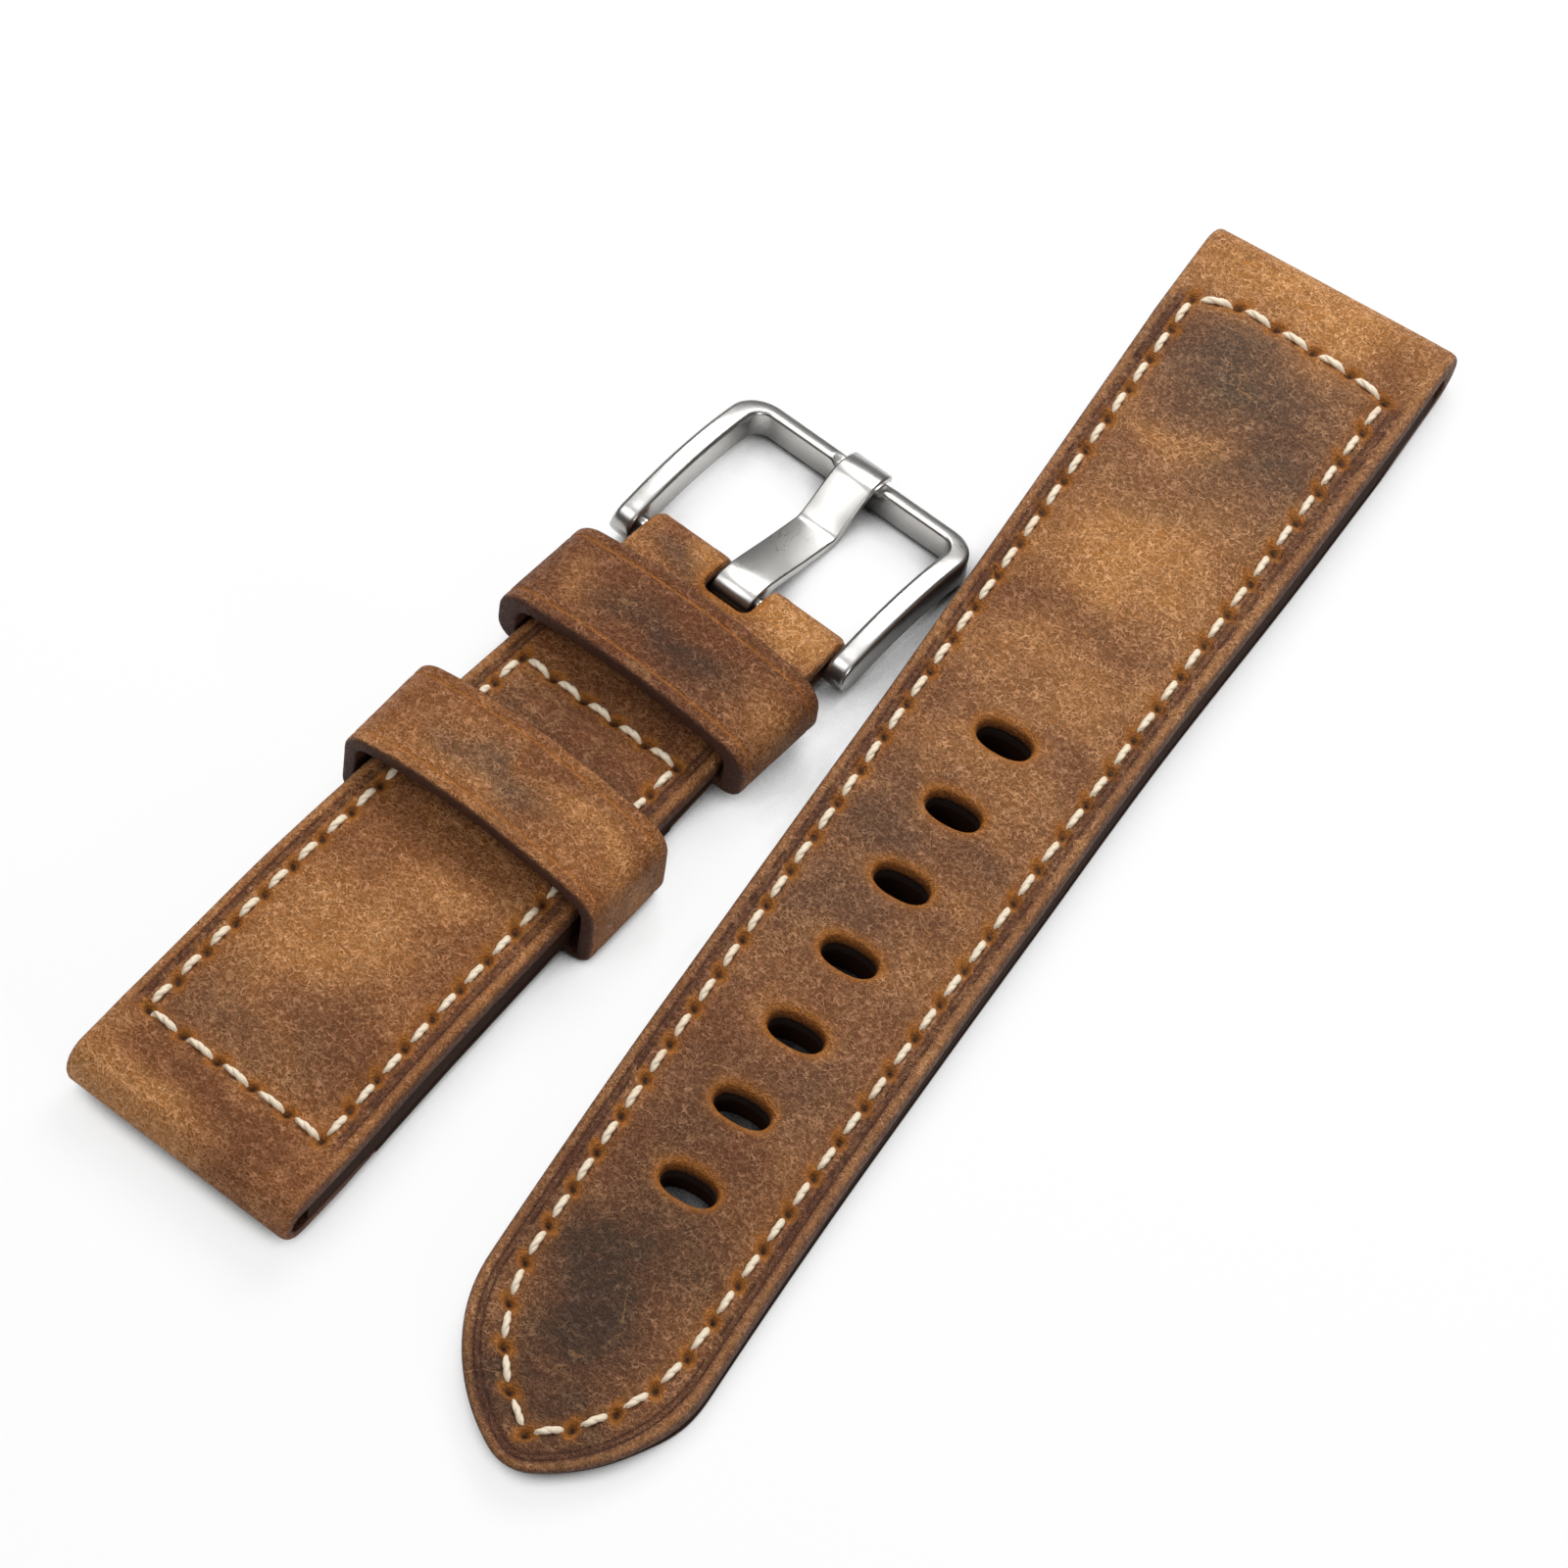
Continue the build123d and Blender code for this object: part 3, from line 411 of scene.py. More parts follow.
class ShortHalf(Half):
    mid, taper, end = (28.9, 4.8), (52.2, 3.4), (70.0, 3.4)
    crown_lug, crown_tail, crown_end = 0.85, 0.45, 50.1
    open_end = False
    heel_bow = 0.0
    nose_shift = 0.75
    bar_w = 9.95
    bar_y, fold_r, fold_hole_r, skive = 70.0, 1.8, 0.8, 4.8
    back_end = 48.6
    slot_w, slot_y, slot_r = 2.35, 67.5, 0.9
    seam_w, seam_tail, seam_tail_w, seam_count = 9.17, 52.1, 8.14, 14
    width_run = 66.0
    crease_start, crease_fade, crease_end = 4.5, 2.0, 67.0
    lean_start, lean_ease, lean_slope = 54.0, 4.0, 0.055
    lug_shift, lug_shift_run = 0.5, 26.0
    narrowing, narrow_end, narrow_run = 0.022, 32.0, 26.0

    def __init__(self):
        w, tail_w, tail_y, last = self.seam_w, self.seam_tail_w, self.seam_tail, self.seam_count - 1
        right = [(w + (tail_w - w) * k / last, ROW_Y + (tail_y - ROW_Y) * k / last) for k in range(last + 1)]
        far = [(tail_w - 2 * tail_w * k / 5, tail_y) for k in range(1, 5)]
        heel = [(-w + 2 * w * k / 5, ROW_Y) for k in range(1, 5)]
        self.seam = right + far + [(-x, y) for x, y in right[::-1]] + heel
        self.slope_run = math.hypot(self.skive, self.fold_r - UPPER_T)
        self.slope_s = self.bar_y + math.pi * self.fold_r
        self.back_s = self.slope_s + self.slope_run
        self.far_s = self.back_s + (self.bar_y - self.skive) - self.back_end

    def lean(self, y):
        """How far the lug end and the buckle end lie to one side at y."""
        past, ease = y - self.lean_start, self.lean_ease
        lug = self.lug_shift * smooth(1 - y / self.lug_shift_run)
        return lug + self.lean_slope * np.where(past > ease, past, np.maximum(past + ease, 0) ** 2 / (4 * ease))

    def settle(self, points):
        """Narrows the lug end a little, then moves the half to one side."""
        points[:, 0] *= 1 - self.narrowing * smooth((self.narrow_end - points[:, 1]) / self.narrow_run)
        super().settle(points)

    def half_width(self, y):
        return LUG_W - np.maximum(y - ROW_Y, 0) * (LUG_W - self.bar_w) / self.width_run

    def edge_distance(self, x, y):
        return self.half_width(np.maximum(y, 0)) - np.abs(x)

    def creased(self, y):
        start = smooth((y - self.crease_start) / self.crease_fade)
        return start * smooth((self.crease_end - y) / self.crease_fade)

    def fold(self, s, y, z, radius, low_z):
        """Carries a side line on round the buckle bar and back along the underside."""
        turn = np.clip((s - self.bar_y) / self.fold_r, 0, math.pi)
        share = np.clip((s - self.slope_s) / self.slope_run, 0, 1)
        bend = (s > self.bar_y) & (s <= self.slope_s)
        y = np.where(bend, self.bar_y + radius * np.sin(turn), y)
        z = np.where(bend, UPPER_T + radius * np.cos(turn), z)
        slope = (s > self.slope_s) & (s <= self.back_s)
        y = np.where(slope, self.bar_y - self.skive * share, y)
        z = np.where(slope, UPPER_T - radius + (low_z - UPPER_T + radius) * share, z)
        back = s > self.back_s
        y = np.where(back, self.bar_y - self.skive - (s - self.back_s), y)
        return y, np.where(back, low_z, z), turn

    def side(self, s):
        y, z, ny, nz = super().side(np.minimum(s, self.bar_y))
        y, z, turn = self.fold(s, y, z, self.fold_r, 0.0)
        return y, z, np.where(s > self.bar_y, np.sin(turn), ny), np.where(s > self.bar_y, np.cos(turn), nz)

    def lining_side(self, s):
        y, z = super().lining_side(np.minimum(s, self.bar_y))
        thin = smooth((s - self.bar_y + self.skive) / self.skive) * (UPPER_T - self.fold_r + self.fold_hole_r)
        z = np.where((s > self.bar_y - self.skive) & (s <= self.bar_y), z + thin, z)
        return self.fold(s, y, z, self.fold_hole_r, LINING_T)[:2]

    def ring(self, inset):
        s = np.linspace(self.heel_s, self.far_s, round((self.far_s - self.heel_s) / self.ring_step))
        y = self.side(s)[0]
        return mirrored(list(zip(self.half_width(np.maximum(y, 0)) - inset, s)), False)

    def holes(self, grow=0.0):
        """The slot where the tongue's barrel sits on the bar, through both walls of the fold."""
        low, high = self.slot_y - grow, self.slope_s + 2.0 + grow
        w, r = self.slot_w + grow, self.slot_r + grow
        points = []
        for k, (cx, cy) in enumerate(((w - r, high - r), (r - w, high - r), (r - w, low + r), (w - r, low + r))):
            points += arc(cx, cy, r, QUARTER * k, QUARTER * (k + 1), 8)
        full = []
        for a, b in sides(points):
            parts = max(1, round(math.dist(a, b) / 0.5))
            full += [between(a, b, k / parts) for k in range(parts)]
        return [full]


def triangles(loops, loose):
    """Delaunay triangles over closed loops, the outer one first, and loose points between them."""
    points, edges = [], []
    for loop in loops:
        first = len(points)
        points += loop
        edges += [(first + k, first + (k + 1) % len(loop)) for k in range(len(loop))]
    points = points + [tuple(p) for p in loose]
    _, _, faces, origin, _, _ = delaunay_2d_cdt([Vector(p) for p in points], edges, [], 0, 1e-6, True)
    back = {k: sources[0] for k, sources in enumerate(origin) if sources}
    faces = np.array([[back[i] for i in f] for f in faces])
    where = np.array(points)
    x, y = where[faces].mean(1).T
    return where, faces[inside(loops[0], x, y) & clear_of(loops[1:], x, y)]


def tube_faces(rows, per, closed=False):
    """Faces between rows of points that each go once round a tube."""
    faces = []
    for k in range(rows if closed else rows - 1):
        n = (k + 1) % rows
        for j in range(per):
            m = (j + 1) % per
            faces.append((k * per + j, k * per + m, n * per + m, n * per + j))
    return faces


def spot_matrix(spot):
    place, turn = spot
    return Matrix.Translation(Vector(place) * MM) @ Matrix.Rotation(math.radians(turn), 4, "Z") @ Matrix.Scale(MM, 4)


def add_object(name, data):
    obj = bpy.data.objects.new(name, data)
    bpy.context.scene.collection.objects.link(obj)
    return obj


def build(name, points, faces, spot, material, settle, masks=None, sharp=38):
    """A closed, smooth-shaded mesh object in the frame, from millimetres in its own plan."""
    points = np.array(points, float)
    settle(points)
    mesh = bpy.data.meshes.new(name)
    mesh.from_pydata([tuple(p) for p in points], [], [tuple(f) for f in faces])
    for key, values in (masks or {}).items():
        mesh.attributes.new(key, "FLOAT", "POINT").data.foreach_set("value", np.asarray(values, np.float32))
    mesh.transform(spot_matrix(spot))
    bm = bmesh.new()
    bm.from_mesh(mesh)
    bmesh.ops.recalc_face_normals(bm, faces=bm.faces)
    bm.to_mesh(mesh)
    bm.free()
    mesh.shade_smooth()
    mesh.set_sharp_from_angle(angle=math.radians(sharp))
    mesh.materials.append(material)
    mesh.validate()
    return add_object(name, mesh)


def shell(loops, fine, coarse, face_of, back_of, bulge=0.04):
    """A closed leather shell: a fine face, a coarse back and walls between them.
    face_of and back_of give places for plan points; the walls swell a little."""
    loops = [loop if (area(loop) > 0) == (k == 0) else loop[::-1] for k, loop in enumerate(loops)]
    top, top_faces = triangles(loops, fine)
    low, low_faces = triangles(loops, coarse)
    edge_count = sum(len(loop) for loop in loops)
    face, back = face_of(top), back_of(low)
    points, plan = [face, back], [top, low]
    faces = [tuple(f) for f in top_faces] + [tuple(len(face) + i for i in f[::-1]) for f in low_faces]
    side = [np.zeros(len(face)), np.ones(len(back))]
    out = np.concatenate([outward(loop) for loop in loops])
    layers = [np.arange(edge_count)]
    total = len(face) + len(back)
    for share in WALL_ROWS:
        row = face[:edge_count] * (1 - share) + back[:edge_count] * share
        row[:, :2] += out * bulge * math.sin(math.pi * share)
        points.append(row)
        plan.append(top[:edge_count])
        side.append(np.full(edge_count, share))
        layers.append(total + np.arange(edge_count))
        total += edge_count
    layers.append(len(face) + np.arange(edge_count))
    first = 0
    for loop in loops:
        for k in range(len(loop)):
            i, j = first + k, first + (k + 1) % len(loop)
            faces += [(upper[j], upper[i], lower[i], lower[j]) for upper, lower in zip(layers[:-1], layers[1:])]
        first += len(loop)
    return np.concatenate(points), faces, np.concatenate(plan), np.concatenate(side)


def face_points(half):
    """Loose points of an upper leather's face: dense at its edge, holes and seam, even elsewhere."""
    points = []
    for inset in EDGE_RINGS:
        points += half.ring(inset)[1:-1]
    for grow in OVAL_RINGS if half.open_end else SLOT_RINGS:
        for hole in half.holes(grow):
            points += [p for p in hole if half.heel_s < p[1] < half.far_s]
    for hole, after in sides(half.seam):
        places = [hole]
        for radius, count in AWL_RINGS:
            places += arc(*hole, radius, 0, 2 * math.pi, count, closed=True)
        length = math.dist(hole, after)
        nx, ny = (after[1] - hole[1]) / length, -(after[0] - hole[0]) / length
        for share in np.linspace(0.28, 0.72, 5):
            mx, my = between(hole, after, share)
            places += [(mx + nx * d, my + ny * d) for d in SEAM_ROWS]
        points += thinned(places, points, 0.12)
        under = [(x, -NOSE_ARC - y) for x, y in places if 0.3 < y < LEAF_END - 0.15]
        points += thinned(under, points, 0.12) if under else []
    grid = lattice(-FACE_HALF_W, FACE_HALF_W, half.heel_s + 0.5, half.far_s - 0.3, FACE_STEP)
    return points + thinned(roomy(half, grid, 1.9, 0.2), points + half.ring(0), 0.33)


def roomy(half, grid, edge_gap, hole_gap):
    """Those points of a grid that keep away from the edge and the holes."""
    x, s = np.array(grid).T
    room = (half.edge_distance(x, half.side(s)[0]) > edge_gap) & clear_of(half.holes(hole_gap), x, s)
    return [p for p, ok in zip(grid, room) if ok]


def upper_leather(half, name, spot, material):
    """The upper leather of a half: face, rolled lug end, fold and holes, as one closed shell."""
    holes = half.holes()
    hole_edge_r = OVAL_EDGE_R if half.open_end else SLOT_EDGE_R

    def face_of(plan):
        x, s = plan.T
        y, z, ny, nz = half.side(s)
        over = (s > -1.0) & (s < half.bar_y)
        lift = np.where(over, half.crown(x, y) + half.relief(x, y), 0)
        lift = np.where((s < -NOSE_ARC) | (s > half.back_s), -half.groove(x, y), lift)
        lift = lift - rounding(half.edge_distance(x, y))
        for hole in holes:
            near = nearest_on(hole + hole[:1], x, s)
            lift = lift - rounding(near, hole_edge_r) + LIP_H * bell(near - LIP_R, LIP_W) * (s > 0)
        lift = lift + WAVE_H * waviness(x, s, WAVE_SIZE, 3.1) * smooth((y + 2) / 4) * over
        y = y + half.nose_shift * np.clip((NOSE_REACH - y) / (NOSE_REACH + NOSE_R), 0, 1) ** 2 * (s > -NOSE_ARC)
        return np.stack([x, y + ny * lift, z + nz * lift], 1)

    def back_of(plan):
        x, s = plan.T
        y, z = half.lining_side(s)
        return np.stack([x, y, z + np.where((s > 0) & (s < half.bar_y - 6), half.crown(x, y), 0)], 1)

    back_grid = lattice(-BACK_HALF_W, BACK_HALF_W, half.heel_s + 1, half.far_s - 1, BACK_STEP)
    coarse = roomy(half, back_grid, 0.6, 0.4)
    points, faces, plan, side = shell([half.ring(0)] + holes, face_points(half), coarse, face_of, back_of)
    x, s = plan.T
    over = (s > -1) & (s < half.bar_y)
    masks = masks_of(half, x, half.side(s)[0], side, nearest_of(holes, x, s), over)
    masks.update(tones(half.patches, x, s))
    return build(name, points, faces, spot, material, half.settle, masks)


def tones(patches, x, s):
    """Where the leather is pulled light, waxy grey, red or dark, from soft patches
    given as tone, x, distance along the face, half-sizes and strength. On the long half they also paint, in part, a
    fall-off of light from the lug end to the tip."""
    values = {tone: np.zeros(len(x)) for tone in ("pale", "wax", "ruddy", "dusk")}
    wander_x, wander_y = waviness(x, s, 6.0, 11.5) * 3.2, waviness(x, s, 6.0, 37.5) * 3.2
    for tone, px, py, rx, ry, strength in patches:
        value = strength * np.exp(-(np.hypot((x + wander_x - px) / rx, (s + wander_y - py) / ry) ** 2.6))
        values[tone] = np.maximum(values[tone], value)
    return values


def masks_of(half, x, y, side, near_hole, over):
    """Where the finish changes: dyed edge, burnished rims, creases, a pale edge line that is partly wear and partly
    painted highlight, and painted shade on the ovals' rims and walls and in the awl pits.
    """
    edge = half.edge_distance(x, y)
    seam, pit = half.seam_distance(x, y), half.pit_distance(x, y)
    lines, crease = half.crease_lines(x, y, (CREASE_IN_W, CREASE_IN_W))
    in_hole = near_hole < IN_HOLE
    cut = np.clip(0.35 + side * 1.3, 0, 1) * (side > 0.01)
    return {
        "edge": np.maximum(0.75 * bell(np.maximum(edge, 0), 0.12), cut) * ~in_hole,
        # Partly rubbed wear, partly painted highlight: a pale gold line along the face's rounded edge.
        "wear": bell(edge - 0.5, 0.26) * over * (side < 0.01),
        "rim": bell(near_hole, 0.65) * over,
        # Painted shade: the rim rolling into each oval and the hole's wall turn dark red-brown.
        "char": np.where(in_hole, 1.0, 0.8 * bell(near_hole, 0.2)) * over,
        # Painted shade: the lower part of each oval's wall goes near black.
        "wall": np.where(in_hole, smooth((side - 0.2) / 0.45), 0),
        "crease": np.clip(lines + 0.5 * bell(crease, 0.3), 0, 1) * half.creased(y) * over,
        # Painted shade: the dark in each awl pit.
        "pit": bell(pit, 0.34) * over,
        "pucker": np.clip(1.4 * bell(pit - 0.4, 0.26) + 0.3 * bell(seam - 0.62, 0.2), 0, 1) * over,
    }


def rim_loop(half, start, stop, inset):
    """Plan outline of a layer that reaches the strap's edge, between two distances from the bore."""
    ring = half.ring(inset)
    line = [p for p in ring if start + 0.2 < p[1] < stop - 0.2]
    split = next(k for k, p in enumerate(line) if p[0] < 0)
    end_w, start_w = (float(half.half_width(y)) - inset for y in (stop, start))
    end = [max(ring, key=lambda p: p[1])] if half.open_end else [(end_w, stop), (-end_w, stop)]
    return [(start_w, start)] + line[:split] + end + line[split:] + [(-start_w, start)]


def seam_loop(half, inset, start, stop):
    """Plan outline of a layer inside the stitch line."""
    fine = [between(a, b, t) for a, b in sides(half.seam) for t in (0.0, 0.25, 0.5, 0.75)]
    p = np.array(fine) - outward(fine) * inset
    keep = (half.seam_distance(p[:, 0], p[:, 1]) > inset - 0.05) & (p[:, 1] > start) & (p[:, 1] < stop)
    loop = [tuple(map(float, q)) for q in p[keep]]
    right, left = [q for q in loop if q[0] > 0], [q for q in loop if q[0] <= 0]
    return [(right[0][0], start)] + right + left + [(left[-1][0], start)]


def layer(half, name, spot, material, loop, top_z, low_z, step, low_lines=(), edged=True):
    """A closed layer of the strap over a plan outline, with the oval holes through it."""
    cuts = half.holes() if half.open_end else []

    def inner(gap):
        grid = lattice(-11, 11, loop[0][1] + 0.7, max(p[1] for p in loop) - 0.5, gap)
        x, y = np.array(grid).T
        room = inside(loop, x, y) & (nearest_of([loop], x, y) > 0.5)
        if cuts:
            room &= clear_of(half.holes(0.3), x, y)
        return [p for p, ok in zip(grid, room) if ok]

    def placed(height):
        return lambda plan: np.stack([plan[:, 0], plan[:, 1], height(plan[:, 0], plan[:, 1]) + 0 * plan[:, 0]], 1)

    fine = inner(step)
    if low_lines:
        fine = list(low_lines) + thinned(fine, low_lines, 0.5)
    points, faces, plan, side = shell([loop] + cuts, fine, inner(2.2), placed(low_z), placed(top_z), bulge=0.02)
    x, y = plan.T
    in_hole = nearest_of(cuts, x, y) < IN_HOLE
    rim = ((side > 0) & (side < 1)) | (nearest_of([loop], x, y) < IN_HOLE)
    # Painted shade: the walls of the oval holes are marked to be painted dark.
    masks = {"edge": rim * float(edged) * ~in_hole, "wall": in_hole}
    return build(name, points, faces, spot, material, half.settle, masks)


def underside_lines(half, start, stop):
    """Loose points along the thread channel and the rounded edge of the lining."""
    lines = []
    for d in (-0.8, -0.5, -0.25, 0, 0.25, 0.5, 0.8):
        for a, b in sides(half.seam):
            length = math.dist(a, b)
            nx, ny = (b[1] - a[1]) / length * d, -(b[0] - a[0]) / length * d
            lines += [(x + nx, y + ny) for x, y in (between(a, b, t) for t in (0.0, 0.25, 0.5, 0.75))]
    for inset in (0.12, 0.3, 0.55):
        lines += half.ring(inset)
    return [p for p in lines if start + 0.1 < p[1] < stop - 0.1]


def loop_line(half_w, bottom, crown, shoulder, low_r, high_r):
    """A keeper's closed outline, from the middle of its base up to the middle of its arch and down again."""
    arch_r = (half_w ** 2 + (crown - shoulder) ** 2) / (2 * (crown - shoulder))
    centre = crown - arch_r
    fillet_z = centre + math.sqrt((arch_r - high_r) ** 2 - (half_w - high_r) ** 2)
    turn = math.atan2(fillet_z - centre, half_w - high_r)
    points = [(x, bottom) for x in np.linspace(0, half_w - low_r, 16)]
    points += arc(half_w - low_r, bottom + low_r, low_r, -QUARTER, 0, 7)[1:]
    points += [(half_w, z) for z in np.linspace(bottom + low_r, fillet_z, 9)[1:]]
    points += arc(half_w - high_r, fillet_z, high_r, 0, turn, 9)[1:]
    points += arc(0, centre, arch_r, turn, QUARTER, 22)[1:]
    return points + [(-x, z) for x, z in points[-2:0:-1]]


def band_section(width, r=0.42):
    """Round-edged cross-section of a leather band: points as place across and depth, and its two creases."""
    creases = (1.25, width - 1.25)
    edge = [(r - r * math.cos(a), r - r * math.sin(a)) for a in np.linspace(0.12, QUARTER, 6)]
    even = list(np.linspace(r + 0.2, width - r - 0.2, 20))
    dense = [c + d for c in creases for d in (-0.3, -0.18, -0.08, 0, 0.08, 0.18, 0.3)]
    across = sorted({round(v, 3) for v in even + dense})
    outer = edge + [(v, 0.0) for v in across] + [(width - v, d) for v, d in edge[::-1]]
    inner = [(width - v * 0.6, -d * 0.6) for v, d in edge] + [(v, -1e-9) for v in np.linspace(width - 0.8, 0.8, 8)]
    return outer, inner + [(v * 0.6, -d * 0.6) for v, d in edge[::-1]], creases


def keeper(name, material, start, width, outer_dims, inner_dims, seed, patches):
    """A leather loop: a round-edged band with two creased lines, swept round the strap. Its inside and its edge at the
    start are painted dark as shade.
    """
    outer, inner = loop_line(*outer_dims), loop_line(*inner_dims)
    outer_pts, inner_pts, creases = band_section(width)
    points, rows = [], []
    for o, i in zip(outer, inner):
        o, i = np.array(o), np.array(i)
        to_inner = (i - o) / np.linalg.norm(i - o)
        sway = 0.1 * noise.noise(Vector((o[0] / 6, o[1] / 6, seed)))
        along = o[0] + 0.6 * (o[1] - 7.0) * (1 if o[0] > 0 else -1)
        for v, d in outer_pts:
            line = math.exp(-((min(abs(v - c) for c in creases) / 0.12) ** 2))
            depth = d + 0.11 * line + 0.03 * noise.noise(Vector((o[0] / 3, v / 3, seed + 9)))
            p = o + to_inner * depth
            points.append((p[0], start + v + sway, p[1]))
            # The third value paints shade on the edge at the start of the band.
            rows.append((1 - smooth(min(v, width - v) / 0.34), 0.8 * line,
                         0.7 * math.exp(-((v / 0.16) ** 2)), along, v))
        for v, d in inner_pts:
            p = i + to_inner * min(d, 0)
            points.append((p[0], start + v + sway, p[1]))
            # The loop's inside gets the edge dye and painted shade of the gap under it.
            rows.append((1.0, 0.0, 1.0, 0.0, -9.0))
    edge, pucker, wall, along, across = np.array(rows, float).T
    masks = {key: np.zeros(len(points)) for key in ("rim", "pit", "char", "crease", "wear")}
    masks.update(edge=edge, pucker=pucker, wall=wall, **tones(patches, along, across))
    faces = tube_faces(len(outer), len(outer_pts) + len(inner_pts), closed=True)
    return build(name, points, faces, SHORT_SPOT, material, keeper_settle, masks, sharp=60)


def keeper_settle(points):
    points[:, 0] += 0.3 + SHORT.lean(points[:, 1])


def bar_settle(points):
    points[:, 0] += 0.8 * SHORT.lean(points[:, 1] + SHORT.bar_y)


FRAME_TOP = ((0, 1.9), (7.5, 2.6), (16.6, 0.9))
FRAME_LOW = ((0, -1.9), (8, -1.0), (16.6, -2.5))
FRAME_EDGE_R = 0.42
SEAT_Z = 0.78
SEAT_HALF_W = 2.6


def frame_height(y, line, side):
    """Top or bottom of the buckle frame at a distance from the bar; its arms end round."""
    if y > 0:
        cx, cz, r = circle_through(*line)
        return cz + math.sqrt(r * r - (y - cx) ** 2)
    return side * math.sqrt(max(FRAME_TOP[0][1] ** 2 - y * y, 0.01))


def frame_path(w, reach, r):
    """Plan of one side of the frame's bar: from an arm's end round to the other's."""
    pts = [(w, -1.88 * math.cos(a)) for a in np.linspace(0.0, QUARTER, 9)]
    pts += [(w, y) for y in np.linspace(0, reach - r, 16)[1:]]
    pts += arc(w - r, reach - r, r, 0, QUARTER, 11)[1:]
    return mirrored(pts + [(x, reach) for x in np.linspace(w - r, 0, 24)[1:]], True)


def buckle_frame(material):
    """The steel frame: a rounded bar swept round a U, with the tongue's seat in its front bar."""
    section = []
    for k, (sx, sz) in enumerate(((1, 1), (0, 1), (0, 0), (1, 0))):
        for c, s in arc(0, 0, 1, QUARTER * k, QUARTER * (k + 1), 5):
            section.append((sx, sz, FRAME_EDGE_R * (c - (1 if sx else -1)), FRAME_EDGE_R * (s - (1 if sz else -1))))
    outer, inner = frame_path(12.4, 16.6, 3.0), frame_path(10.45, 15.0, 1.4)
    points, per, rows = [], len(section), len(outer)
    for o, i in zip(outer, inner):
        o, i = np.array(o), np.array(i)
        wide = np.linalg.norm(o - i)
        out = (o - i) / wide
        for sx, sz, dx, dz in section:
            p = i + out * (wide * sx)
            top, low = frame_height(p[1], FRAME_TOP, 1), frame_height(p[1], FRAME_LOW, -1)
            shrink = min(1, (top - low) / 1.2)
            if sz and abs(p[0]) < 3.2 and p[1] > 14:
                top = top - (top - SEAT_Z) * smooth((SEAT_HALF_W - abs(p[0])) / 0.3)
            q = p + out * dx * shrink
            points.append((q[0], q[1], (top if sz else low) + dz * shrink))
    faces = tube_faces(rows, per) + [tuple(range(per)), tuple(range(rows * per - 1, (rows - 1) * per - 1, -1))]
    return build("buckle_frame_steel", points, faces, BAR_SPOT, material, bar_settle, sharp=50)


def resampled(points, step=0.3):
    """Evenly spaced points along a smooth line through the given ones."""
    p = np.array(points, float)
    out = []
    for k in range(len(p) - 1):
        a, b = p[k], p[k + 1]
        before = p[k - 1] if k else a - (b - a)
        after = p[k + 2] if k + 2 < len(p) else b + (b - a)
        count = max(1, round(float(np.linalg.norm(b - a)) / step))
        for t in np.arange(count) / count:
            square, cube = 2 * before - 5 * a + 4 * b - after, 3 * a - before - 3 * b + after
            out.append(0.5 * (2 * a + (b - before) * t + square * t ** 2 + cube * t ** 3))
    out.append(p[-1])
    return [tuple(map(float, q)) for q in out]


# The tongue's side view, by distance from the bar and height: its top from barrel to tip, then its underside.
TONGUE_TOP = [(0.0, 1.55), (1.4, 1.4), (5.6, 0.1), (9.0, -0.85), (10.1, -1.08), (10.8, -0.8), (12.4, 0.28),
              (13.9, 1.24), (14.6, 1.58), (15.5, 1.6), (16.4, 1.34), (17.2, 0.9), (17.62, 0.4)]
TONGUE_LOW = [(17.3, 0.1), (16.9, 0.34), (16.2, 0.62), (15.2, 0.8), (14.5, 0.55), (12.9, -0.55),
              (11.1, -1.8), (10.1, -2.15), (9.0, -1.9), (5.6, -1.02), (2.3, -0.1), (1.62, -0.2)]
TONGUE_HALF_W = 2.0
TONGUE_EDGE_R = 0.2
BARREL_R = 1.55
BARREL_HOLE_R = 0.8


def tongue_mesh(material):
    """The steel tongue: its side view drawn out across, with rounded edges and the bar's hole through its barrel."""
    barrel = arc(0, 0, BARREL_R, math.radians(-12), math.radians(-262), 36)
    loop = resampled(TONGUE_TOP)[:-1] + resampled([TONGUE_TOP[-1]] + TONGUE_LOW)[1:-1] + barrel[:-1]
    loop = loop if area(loop) > 0 else loop[::-1]
    hole = arc(0, 0, BARREL_HOLE_R, 0, -2 * math.pi, 28, closed=True)
    flat, side_faces = triangles([loop, hole], [])
    p, out = np.array(loop), outward(loop)
    w, r = TONGUE_HALF_W, TONGUE_EDGE_R
    edge = [(w, r)] + [(w - r + r * math.cos(a), r - r * math.sin(a)) for a in (0.45, 0.95)] + [(w - r, 0.0)]
    rings = [(-x, d) for x, d in edge] + edge[::-1]
    points = [(x, a, b) for x, d in rings for a, b in p - out * d]
    n, m, first = len(loop), len(hole), len(points)
    points += [(x, a, b) for x in (-w, w) for a, b in flat[n:]]
    faces = tube_faces(len(rings), n)
    faces += [(first + j, first + (j + 1) % m, first + m + (j + 1) % m, first + m + j) for j in range(m)]
    last = (len(rings) - 1) * n
    for f in side_faces:
        faces.append(tuple(i if i < n else first + i - n for i in f)[::-1])
        faces.append(tuple(last + i if i < n else first + m + i - n for i in f))
    return build("buckle_tongue_steel", points, faces, BAR_SPOT, material, bar_settle, sharp=50)


# Finishes

